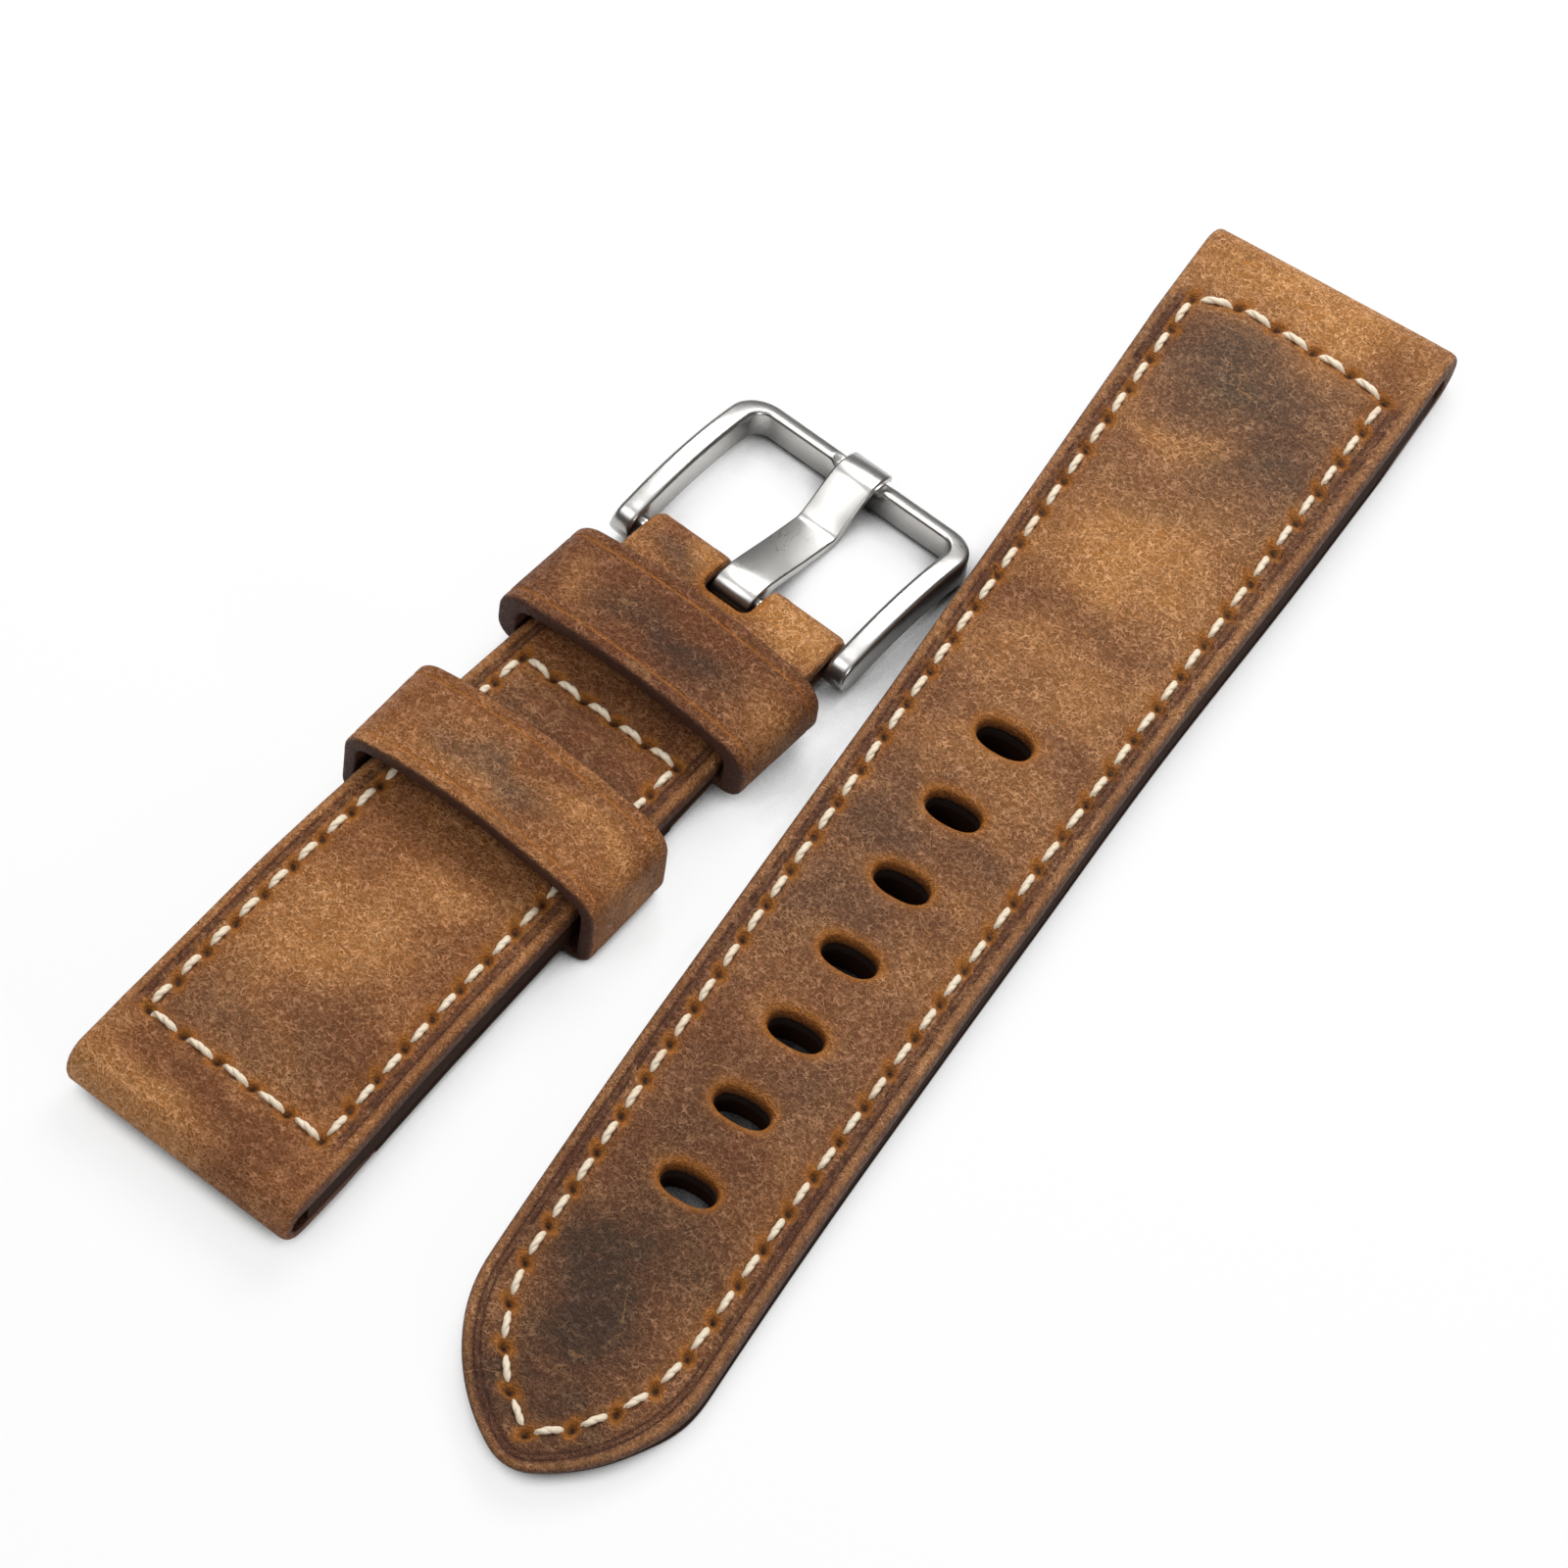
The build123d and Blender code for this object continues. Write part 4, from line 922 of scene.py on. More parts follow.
class Weave:
    """Adds and wires the nodes of a tree with few words."""

    def __init__(self, tree):
        self.tree, self.count = tree, 0

    def add(self, kind, sockets=None, **settings):
        """A node with its settings, and values or links for its input sockets."""
        n = self.tree.nodes.new(kind)
        n.location = (-1800 + 170 * (self.count % 16), 700 - 220 * (self.count // 16))
        self.count += 1
        for key, value in settings.items():
            setattr(n, key, value)
        return self.fill(n, sockets or {})

    def fill(self, n, sockets):
        for key, value in sockets.items():
            if isinstance(value, bpy.types.NodeSocket):
                self.tree.links.new(value, n.inputs[key])
            else:
                n.inputs[key].default_value = value
        return n

    def math(self, operation, a, b=0.0, clamp=False):
        return self.add("ShaderNodeMath", {0: a, 1: b}, operation=operation, use_clamp=clamp).outputs[0]

    def mul(self, a, b, clamp=False):
        return self.math("MULTIPLY", a, b, clamp)

    def sum(self, a, b):
        return self.math("ADD", a, b)

    def ramp(self, value, low, high, out_low=0.0, out_high=1.0, smoothed=True):
        sockets = {"Value": value, "From Min": low, "From Max": high, "To Min": out_low, "To Max": out_high}
        kind = "SMOOTHSTEP" if smoothed else "LINEAR"
        return self.add("ShaderNodeMapRange", sockets, interpolation_type=kind).outputs["Result"]


class Finish(Weave):
    """A material's nodes, with patterns measured in millimetres of the object's own space."""

    def __init__(self, name, colour):
        self.material = bpy.data.materials.new(name)
        self.material.use_nodes = True
        self.material.diffuse_color = (*colour[:3], 1)
        super().__init__(self.material.node_tree)
        self.tree.nodes.clear()
        self.shader = self.add("ShaderNodeBsdfPrincipled")
        self.out = self.add("ShaderNodeOutputMaterial", {"Surface": self.shader.outputs[0]})
        place = self.add("ShaderNodeTexCoord").outputs["Object"]
        self.mm = self.add("ShaderNodeVectorMath", {0: place, "Scale": 1 / MM}, operation="SCALE").outputs[0]

    def noise(self, size, detail=2.0, rough=0.5, vector=None, distortion=0.0, out="Fac"):
        """Noise with features of about this many millimetres."""
        sockets = {"Scale": 1 / size, "Detail": detail, "Roughness": rough, "Distortion": distortion,
                   "Vector": vector or self.mm}
        return self.add("ShaderNodeTexNoise", sockets).outputs[out]

    def cells(self, size, vector):
        """Distance from the borders of cells of about this many millimetres."""
        sockets = {"Scale": 1 / size, "Randomness": 1.0, "Vector": vector}
        return self.add("ShaderNodeTexVoronoi", sockets, feature="DISTANCE_TO_EDGE").outputs["Distance"]

    def shifted(self, offset, stretch=(1, 1, 1), vector=None):
        sockets = {"Location": offset, "Scale": stretch, "Vector": vector or self.mm}
        return self.add("ShaderNodeMapping", sockets).outputs[0]

    def wavy(self, amount, size, vector):
        """Places pushed about by soft noise."""
        push = self.noise(size, vector=vector, out="Color")
        sockets = {0: push, 1: (amount,) * 3, 2: vector}
        return self.add("ShaderNodeVectorMath", sockets, operation="MULTIPLY_ADD").outputs[0]

    def mix(self, share, a, b):
        a, b = (c if isinstance(c, bpy.types.NodeSocket) else (*c[:3], 1) for c in (a, b))
        return self.add("ShaderNodeMix", {0: share, 6: a, 7: b}, data_type="RGBA", clamp_factor=True).outputs[2]

    def mask(self, name):
        return self.add("ShaderNodeAttribute", attribute_name=name, attribute_type="GEOMETRY").outputs["Fac"]

    def done(self, base, rough, height, distance, strength, **more):
        """Feeds the shader and gives the material back; distance is the bump's, in metres."""
        bump = self.add("ShaderNodeBump", {"Strength": strength, "Distance": distance, "Height": height})
        sockets = {"Base Color": base, "Roughness": rough, "Normal": bump.outputs[0]}
        self.fill(self.shader, {**sockets, **{key.replace("_", " "): value for key, value in more.items()}})
        return self.material


def scaled(colour, factor):
    return [min(1, c * factor) for c in colour[:3]]


def leather(name, shift, body, mottle=1.0):
    """Oiled pull-up leather: pebbled grain, pale where it is pulled or rubbed, waxy grey, red or dark in patches, with
    painted highlights on the grain's ridges and the rounded edge and painted shade in the holes.
    """
    looks = bpy.context.scene.strap_looks
    w = Finish(name, body)
    where = w.shifted(shift)
    pebble = w.cells(0.56, w.wavy(0.9, 0.6, where))
    coarse = w.noise(0.9, 3.0, 0.6, where, 0.6)
    fine = w.noise(0.22, 3.0, 0.65, where)
    cloud = w.noise(4.5, 4.0, 0.6, w.shifted((31, 17, 5), vector=where), 0.4)
    patch = w.noise(13.0, 4.0, 0.55, where, 0.6)

    def wrinkles(size):
        """Winding lines where a noise crosses its middle."""
        field = w.noise(size, 1.5, 0.5, w.shifted((9 * size, 5, 1), (0.8, 1.25, 1.0), where), 0.9)
        return w.ramp(w.math("ABSOLUTE", w.math("SUBTRACT", field, 0.5)), 0.0, 0.085, 1.0, 0.0)

    # Broad tones, their edges broken up by the grain.
    mood = w.sum(w.mul(patch, 0.6), w.mul(cloud, 0.4))
    base = w.mix(w.mul(w.ramp(mood, 0.46, 0.68), 0.4 * mottle), body, looks.gold)
    base = w.mix(w.mul(w.ramp(mood, 0.52, 0.36), 0.6 * mottle), base, looks.ruddy)
    ragged = w.ramp(w.sum(w.mul(cloud, 1.5), w.mul(coarse, 0.9)), 0.8, 1.5, 0.6, 1.4, smoothed=False)
    for mask, shade in (("pale", looks.gold), ("wax", looks.grey), ("ruddy", looks.ruddy), ("dusk", looks.dusk)):
        base = w.mix(w.mul(w.mask(mask), ragged, True), base, shade)

    # The grain's ridges, lightest where the oil is pulled away, and lighter still as a painted highlight of the grain.
    ridge = w.math("MAXIMUM", wrinkles(1.0), w.mul(wrinkles(0.62), w.ramp(coarse, 0.35, 0.6, 0.4, 1.0)))
    bumps = w.mul(w.ramp(pebble, 0.02, 0.17, 1.0, 0.0), w.ramp(coarse, 0.62, 0.42, 0.35, 1.0))
    ridge = w.math("MAXIMUM", w.mul(ridge, w.ramp(fine, 0.3, 0.6, 0.45, 1.0)), bumps)
    oiled = w.math("MAXIMUM", w.mask("dusk"), w.mul(w.math("MAXIMUM", w.mask("wax"), w.mask("ruddy")), 0.65))
    # How much the ridges lighten: from oil pulled away and as a painted highlight, less where the leather is oiled.
    pulled = w.sum(w.mul(w.mask("pale"), 0.22), w.ramp(mood, 0.4, 0.62, 0.2, 0.42))
    pulled = w.mul(pulled, w.ramp(oiled, 0.0, 1.0, 0.5 + 0.5 * mottle, 0.15, smoothed=False))
    base = w.mix(w.mul(ridge, pulled, True), base, looks.glow)
    # Painted highlight: the ridges' value is raised, most where the leather isn't oiled.
    light = w.sum(w.ramp(fine, 0.25, 0.75, 0.58, 0.88, smoothed=False),
                  w.mul(ridge, w.ramp(oiled, 0.0, 1.0, 0.56, 0.32, smoothed=False)))
    depth = w.ramp(ridge, 0.0, 1.0, 1.12, 1.0, smoothed=False)
    base = w.add("ShaderNodeHueSaturation", {"Value": light, "Saturation": depth, "Color": base}).outputs[0]

    # Cracks, scratches, and the finish of edges and holes, with a pale edge line that is partly wear and partly painted
    # highlight, and painted shade in the oval holes and awl pits.
    cracks = w.mul(w.ramp(w.cells(4.2, w.wavy(3.4, 2.6, where)), 0.0, 0.03, 1.0, 0.0), w.ramp(cloud, 0.5, 0.62))
    scratch = w.ramp(w.noise(0.8, 2.0, 0.4, w.shifted((3, 1, 0), (0.18, 2.2, 1.0), where)), 0.72, 0.8)
    base = w.mix(w.mul(w.math("MAXIMUM", cracks, scratch), 0.34), base, looks.glow)
    for mask, share, shade in (
            # The pale gold line on the rounded edge: partly rubbed wear, partly painted highlight.
            ("wear", w.ramp(coarse, 0.3, 0.7, 0.1, 0.5), looks.gold),
            ("pucker", w.ramp(fine, 0.3, 0.7, 0.7, 1.0), looks.burnt),
            ("rim", w.ramp(coarse, 0.3, 0.6, 0.7, 1.0), looks.burnt),
            ("crease", 0.9, looks.crease),
            # Painted shade: dark red-brown on the ovals' rims and walls.
            ("char", w.ramp(fine, 0.3, 0.65, 0.95, 0.6), looks.char),
            # Painted shade: near black lower in the ovals' walls.
            ("wall", 1.0, looks.hole),
            # Painted shade: near black in the awl pits.
            ("pit", 0.95, looks.hole),
            ("edge", w.ramp(fine, 0.3, 0.7, 0.85, 1.0), looks.edge)):
        base = w.mix(w.mul(w.mask(mask), share), base, shade)

    rough = w.sum(w.ramp(ridge, 0.0, 1.0, 0.64, 0.46), w.mul(fine, 0.12))
    height = w.sum(w.sum(w.mul(ridge, 0.8), w.mul(coarse, 1.5)), w.mul(fine, 0.4))
    height = w.math("SUBTRACT", height, w.mul(cracks, 0.6))
    return w.done(base, rough, height, 0.0002, 1.0, Specular_IOR_Level=0.3)


def plain_leather(name, colour, dark):
    """The smoother lining and the compressed core, with fibres and dye, and painted shade on the walls of the oval
    holes.
    """
    w = Finish(name, colour)
    fibre = w.noise(0.3, 4.0, 0.65)
    base = w.mix(w.ramp(w.noise(6.0, 3.0), 0.35, 0.65), colour, scaled(colour, 0.72))
    base = w.mix(w.mul(w.ramp(fibre, 0.35, 0.7), 0.35), base, scaled(colour, 1.35))
    # Cut edges take the dark edge colour, partly dye and partly painted shade; the oval holes' walls take it as painted
    # shade.
    base = w.mix(w.math("MAXIMUM", w.mask("edge"), w.mask("wall")), base, dark)
    return w.done(base, w.ramp(fibre, 0.2, 0.8, 0.55, 0.8), fibre, 0.00005, 0.7, Specular_IOR_Level=0.06)


def felt(name, colour):
    """Pressed felt or woven tape, with crossing fibres, and painted shade on the walls of the oval holes."""
    w = Finish(name, colour)
    a = w.noise(0.2, 3.0, 0.7, w.shifted((0, 0, 0), (1, 0.25, 1)))
    b = w.noise(0.2, 3.0, 0.7, w.shifted((9, 4, 0), (0.25, 1, 1)))
    fibre = w.math("MAXIMUM", a, b)
    base = w.mix(w.ramp(fibre, 0.4, 0.75), scaled(colour, 0.6), colour)
    # Painted shade: the walls of the oval holes go near black.
    base = w.mix(w.mask("wall"), base, bpy.context.scene.strap_looks.hole)
    return w.done(base, 0.9, fibre, 0.00008, 0.8)


def thread(name):
    """Waxed cream thread: fine fibres and a little grime."""
    looks = bpy.context.scene.strap_looks
    w = Finish(name, looks.thread)
    fibre = w.noise(0.09, 3.0, 0.6)
    base = w.mix(w.ramp(fibre, 0.35, 0.7), scaled(looks.thread, 0.78), looks.thread)
    base = w.mix(w.mul(w.ramp(w.noise(2.5), 0.55, 0.72), 0.22), base, looks.glow)
    return w.done(base, 0.6, fibre, 0.00003, 0.6)


def steel(name, colour, stretch, rough=0.27):
    """Satin-brushed steel with fine lines along the part and faint smudges."""
    w = Finish(name, colour)
    lines = w.noise(0.1, 3.0, 0.7, w.shifted((0, 0, 0), stretch))
    base = w.mix(w.ramp(lines, 0.3, 0.7), scaled(colour, 0.93), colour)
    rough = w.sum(w.ramp(lines, 0.3, 0.7, rough - 0.02, rough + 0.02), w.mul(w.noise(3.0, 3.0), 0.05))
    return w.done(base, rough, lines, 0.000001, 0.3, Metallic=1.0)


# Stitches

SIDE_SHARE = 0.5
CROSS_SHARE = 0.55
LOW_DASH_Z = 0.48


def seam_guide(half, spot, name):
    """One point for each dash, with its direction and how far it spans."""
    holes = [(x + float(half.lean(y)), y) for x, y in half.seam]
    points, turns, spans = [], [], []
    for upper in (True, False):
        for a, b in sides(holes):
            length = math.dist(a, b)
            rim_a, rim_b = float(half.rim(a[1])), float(half.rim(b[1]))
            z = (rim_a + rim_b) / 2 + 0.02 if upper else LOW_DASH_Z
            pitch = -math.atan2(rim_b - rim_a, length) if upper else 0.0
            turn = math.atan2(b[1] - a[1], b[0] - a[0])
            points.append((*between(a, b, 0.5), z))
            turns += [0.0 if upper else math.pi, pitch, turn + math.radians(spot[1])]
            across = abs(b[1] - a[1]) < abs(b[0] - a[0]) and a[1] < 100
            spans += [length * (CROSS_SHARE if across else SIDE_SHARE), 1.0, 1.0]
    mesh = bpy.data.meshes.new(name)
    mesh.from_pydata(points, [], [])
    for key, values in (("turn", turns), ("span", spans)):
        mesh.attributes.new(key, "FLOAT_VECTOR", "POINT").data.foreach_set("vector", values)
    mesh.transform(spot_matrix(spot))
    return add_object(name, mesh)


def stitch_tree():
    """Geometry nodes: a two-ply twisted dash with plunging ends, placed on every guide point."""
    tree = bpy.data.node_groups.new("Twisted stitches", "GeometryNodeTree")
    for label, kind, way in (
            ("Geometry", "Geometry", "INPUT"), ("Thread thickness", "Float", "INPUT"), ("Twists", "Float", "INPUT"),
            ("Rise", "Float", "INPUT"), ("Plunge", "Float", "INPUT"), ("Seed", "Int", "INPUT"),
            ("Thread", "Material", "INPUT"), ("Geometry", "Geometry", "OUTPUT")):
        tree.interface.new_socket(label, in_out=way, socket_type="NodeSocket" + kind)
    w = Weave(tree)
    given = w.add("NodeGroupInput").outputs
    thick = given["Thread thickness"]
    join = w.add("GeometryNodeJoinGeometry")
    for phase in (0.0, math.pi):
        line = w.add("GeometryNodeCurvePrimitiveLine", {"Start": (-0.5, 0, 0), "End": (0.5, 0, 0)}).outputs[0]
        curve = w.add("GeometryNodeResampleCurve", {"Curve": line, "Count": 13}).outputs[0]
        share = w.add("GeometryNodeSplineParameter").outputs["Factor"]
        angle = w.sum(w.mul(w.mul(share, given["Twists"]), 2 * math.pi), phase)
        offset = w.mul(thick, 0.17)
        bow = w.math("POWER", w.math("ABSOLUTE", w.math("SUBTRACT", w.mul(share, 2.0), 1.0)), 4.0)
        height = w.math("SUBTRACT", given["Rise"], w.mul(bow, given["Plunge"]))
        ahead = w.mul(w.math("SUBTRACT", share, 0.5), MM)
        across = w.mul(w.math("COSINE", angle), offset)
        up = w.sum(w.mul(w.math("SINE", angle), offset), height)
        shape = w.add("ShaderNodeCombineXYZ", {0: ahead, 1: across, 2: up}).outputs[0]
        bend = w.add("GeometryNodeSetPosition", {"Geometry": curve, "Position": shape}).outputs[0]
        ring = w.add("GeometryNodeCurvePrimitiveCircle", {"Resolution": 6, "Radius": w.mul(thick, 0.33)})
        sweep = {"Curve": bend, "Profile Curve": ring.outputs["Curve"], "Fill Caps": True}
        w.fill(join, {0: w.add("GeometryNodeCurveToMesh", sweep).outputs[0]})
    turn, span = (w.add("GeometryNodeInputNamedAttribute", {"Name": key}, data_type="FLOAT_VECTOR").outputs["Attribute"]
                  for key in ("turn", "span"))
    sway = {0: (-0.05, -0.02, -0.05), 1: (0.05, 0.02, 0.05), "Seed": given["Seed"]}
    jitter = w.add("FunctionNodeRandomValue", sway, data_type="FLOAT_VECTOR").outputs[0]
    swing = w.add("ShaderNodeVectorMath", {0: turn, 1: jitter}, operation="ADD").outputs[0]
    dashes = {"Points": given["Geometry"], "Instance": join.outputs[0], "Rotation": swing, "Scale": span}
    real = w.add("GeometryNodeRealizeInstances", {0: w.add("GeometryNodeInstanceOnPoints", dashes).outputs[0]})
    paint = w.add("GeometryNodeSetMaterial", {"Geometry": real.outputs[0], "Material": given["Thread"]})
    w.add("NodeGroupOutput", {0: paint.outputs[0]})
    return tree


def stitch_mesh(half, spot, name, material, seed):
    """Runs the stitch tree on a seam's guide points and keeps its result as a plain mesh."""
    sizes = bpy.context.scene.strap_sizes
    guide = seam_guide(half, spot, name + "_guide")
    modifier = guide.modifiers.new("Stitches", "NODES")
    modifier.node_group = bpy.data.node_groups.get("Twisted stitches") or stitch_tree()
    thick = sizes.thread_thickness
    values = {"Thread thickness": thick, "Twists": sizes.thread_twists, "Rise": thick * 0.2,
              "Plunge": thick * 1.1, "Seed": seed, "Thread": material}
    for item in modifier.node_group.interface.items_tree:
        if item.in_out == "INPUT" and item.name in values:
            modifier[item.identifier] = values[item.name]
    bpy.context.view_layer.update()
    mesh = bpy.data.meshes.new_from_object(guide.evaluated_get(bpy.context.evaluated_depsgraph_get()))
    mesh.name = name
    mesh.shade_smooth()
    bpy.data.objects.remove(guide)
    return add_object(name, mesh)


# What a user may change

def length(label, words, default):
    return bpy.props.FloatProperty(name=label, description=words, default=default, min=0.0, unit="LENGTH", precision=5)


def colour(label, words, default):
    return bpy.props.FloatVectorProperty(name=label, description=words, default=default, min=0.0, max=1.0,
                                         subtype="COLOR", size=3)


class StrapSizes(bpy.types.PropertyGroup):
    """Sizes of the finish on the leather and of the thread"""
    crease_inset: length("Crease inset", "Distance of the pressed crease's middle from the cut edge", 0.00132)
    crease_depth: length("Crease depth", "Depth of each line of the crease", 0.00011)
    channel_depth: length("Stitch channel", "How far the stitches pull the leather down", 0.00016)
    pit_depth: length("Awl hole depth", "Depth of the dimple at each awl hole", 0.00055)
    thread_thickness: length("Thread thickness", "Thickness of the waxed thread", 0.00066)
    thread_twists: bpy.props.FloatProperty(name="Twists", description="Turns of the two plies in one dash",
                                           default=1.3, min=0.0)


class StrapLooks(bpy.types.PropertyGroup):
    """Colours of the leather, thread and steel"""
    brown: colour("Brown", "The long half's middle brown", (0.215, 0.093, 0.049))
    warm: colour("Warm brown", "The buckle half's middle brown", (0.310, 0.118, 0.044))
    gold: colour("Gold", "The leather where the oil is pulled away", (0.560, 0.255, 0.092))
    # Partly a painted highlight where it lightens the grain's ridges; on scratches and cracks, and as the thread's
    # grime, it is the colour itself.
    glow: colour("Glow", "Light tan of the grain's ridges and scratches", (0.600, 0.325, 0.150))
    grey: colour("Grey", "Cooler, waxy patches", (0.098, 0.063, 0.045))
    ruddy: colour("Ruddy", "Redder patches that hold more oil", (0.165, 0.056, 0.024))
    dusk: colour("Dusk", "The darkest patches", (0.066, 0.035, 0.022))
    burnt: colour("Burnt orange", "Burnished rims of holes and puckers", (0.480, 0.165, 0.020))
    crease: colour("Crease", "Pressed crease beside the edge", (0.075, 0.024, 0.014))
    # Painted shade: the dark red-brown of the ovals' rims and walls.
    char: colour("Charred rim", "Dark inner edge of the punched ovals", (0.110, 0.030, 0.005))
    # Painted shade: this near black stands in for the shade in the oval holes, the awl pits and inside the keepers.
    hole: colour("Hole wall", "Dark walls of the holes", (0.016, 0.005, 0.002))
    edge: colour("Edge dye", "Dyed and waxed cut edges", (0.080, 0.028, 0.014))
    lining: colour("Lining", "Smooth lining leather", (0.200, 0.095, 0.042))
    core: colour("Core", "Compressed leather board between the layers", (0.048, 0.019, 0.011))
    # Partly dye and partly painted shade: kept near black so that the lower half of each wall looks shaded.
    low_edge: colour("Lower edge dye", "Dark brown dye of the lower edges", (0.030, 0.012, 0.006))
    felt: colour("Felt", "Felt padding", (0.330, 0.300, 0.250))
    tape: colour("Tape", "Non-stretch tape", (0.600, 0.590, 0.560))
    thread: colour("Thread", "Waxed cream thread", (0.950, 0.810, 0.610))
    steel: colour("Steel", "Satin steel", (0.560, 0.550, 0.530))
    floor: colour("Floor", "Pale floor", (0.850, 0.850, 0.850))


# Soft patches of the leather: tone, x, distance along, half-sizes and strength.
# On the long half the pale patches gather toward the lug end and the red and dark ones toward the tip: partly the
# leather's own tone, partly a painted fall-off of light, lighter at the lug end and darker at the tip.
LongHalf.patches = (
    ("pale", 0.0, -2.0, 14.0, 7.5, 1.0), ("ruddy", -9.5, 2.0, 3.5, 4.5, 0.6), ("wax", 2.0, 11.0, 8.0, 6.0, 0.75),
    ("pale", 3.5, 19.5, 6.0, 2.2, 0.5), ("wax", -4.5, 17.0, 5.5, 7.0, 0.7), ("wax", 0.0, 26.0, 7.0, 2.5, 0.3),
    ("pale", 0.0, 32.0, 9.0, 8.0, 0.8), ("pale", 1.0, 47.0, 9.0, 6.0, 0.5), ("pale", 0.0, 58.0, 8.0, 3.5, 0.45),
    ("ruddy", 3.0, 41.0, 8.0, 3.0, 0.4), ("ruddy", -3.0, 53.0, 6.0, 2.5, 0.45), ("ruddy", 0.0, 74.0, 12.0, 26.0, 0.4),
    ("ruddy", 0.0, 108.0, 13.0, 20.0, 0.75), ("ruddy", 0.0, 128.0, 13.0, 12.0, 0.8),
    ("pale", -6.0, 68.0, 3.0, 14.0, 0.3), ("wax", 4.5, 66.0, 4.0, 3.5, 0.8), ("wax", 3.5, 75.0, 4.5, 5.0, 0.7),
    ("wax", -3.5, 64.5, 2.5, 2.0, 0.5), ("pale", 0.0, 84.0, 8.0, 4.0, 0.2), ("wax", -4.0, 92.0, 4.5, 4.0, 0.5),
    ("dusk", 4.0, 98.0, 3.5, 5.0, 0.4), ("dusk", 1.5, 114.0, 6.5, 10.5, 0.95), ("pale", -6.5, 104.0, 1.6, 16.0, 0.4),
    ("dusk", 0.0, 127.0, 10.0, 5.0, 0.75),
) + tuple(("pale", side * 3.4, OVAL_FIRST + OVAL_PITCH * k, 1.2, 1.6, 0.6)
          for k in range(OVAL_COUNT) for side in (1, -1))
# On the buckle half the dark and red patches from 45 to 54 mm along lie between the keepers: partly a redder tone,
# partly painted shade of the keepers.
ShortHalf.patches = (
    ("pale", -6.0, -4.0, 8.0, 3.5, 0.8), ("ruddy", 0.0, 2.2, 10.0, 2.6, 0.7), ("wax", -4.0, 8.5, 6.0, 3.5, 0.4),
    ("ruddy", 5.5, 11.5, 5.0, 5.0, 0.65), ("wax", 2.5, 12.0, 4.0, 3.0, 0.4), ("pale", -2.0, 20.0, 6.0, 6.0, 0.6),
    ("pale", 1.0, 28.0, 5.0, 4.0, 0.4), ("ruddy", 7.5, 24.0, 2.0, 10.0, 0.4), ("ruddy", 0.0, 49.0, 9.0, 5.0, 0.9),
    ("dusk", 0.0, 45.5, 11.0, 3.0, 0.5), ("ruddy", 2.0, 54.0, 9.0, 3.0, 0.8), ("wax", -5.0, 68.5, 3.5, 2.0, 0.6),
    ("pale", 5.5, 69.0, 3.5, 2.4, 1.0), ("pale", -2.6, 70.0, 1.4, 2.0, 0.8),
)
FREE_PATCHES = (
    ("wax", -2.0, 4.0, 7.0, 2.6, 0.7), ("pale", 8.0, 6.5, 5.0, 2.2, 0.6), ("pale", -6.0, 2.0, 3.0, 1.4, 0.5),
    ("ruddy", 3.0, 8.6, 9.0, 1.2, 0.6), ("pale", 15.0, 5.0, 3.0, 4.0, 0.6),
)
FIXED_PATCHES = (
    ("dusk", 1.0, 4.5, 7.5, 2.4, 0.75), ("pale", -9.0, 4.0, 3.0, 3.0, 0.4), ("pale", 14.0, 5.0, 3.5, 4.5, 0.8),
    ("ruddy", 5.0, 8.6, 9.0, 1.2, 0.5),
)

LONG = LongHalf()
SHORT = ShortHalf()


def place(obj, body, slot, *nodes):
    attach(obj, body)
    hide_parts(*nodes)
    return obj


def ready(name, make, *details):
    """The material of this name, made when it is first asked for."""
    return bpy.data.materials.get(name) or make(name, *details)


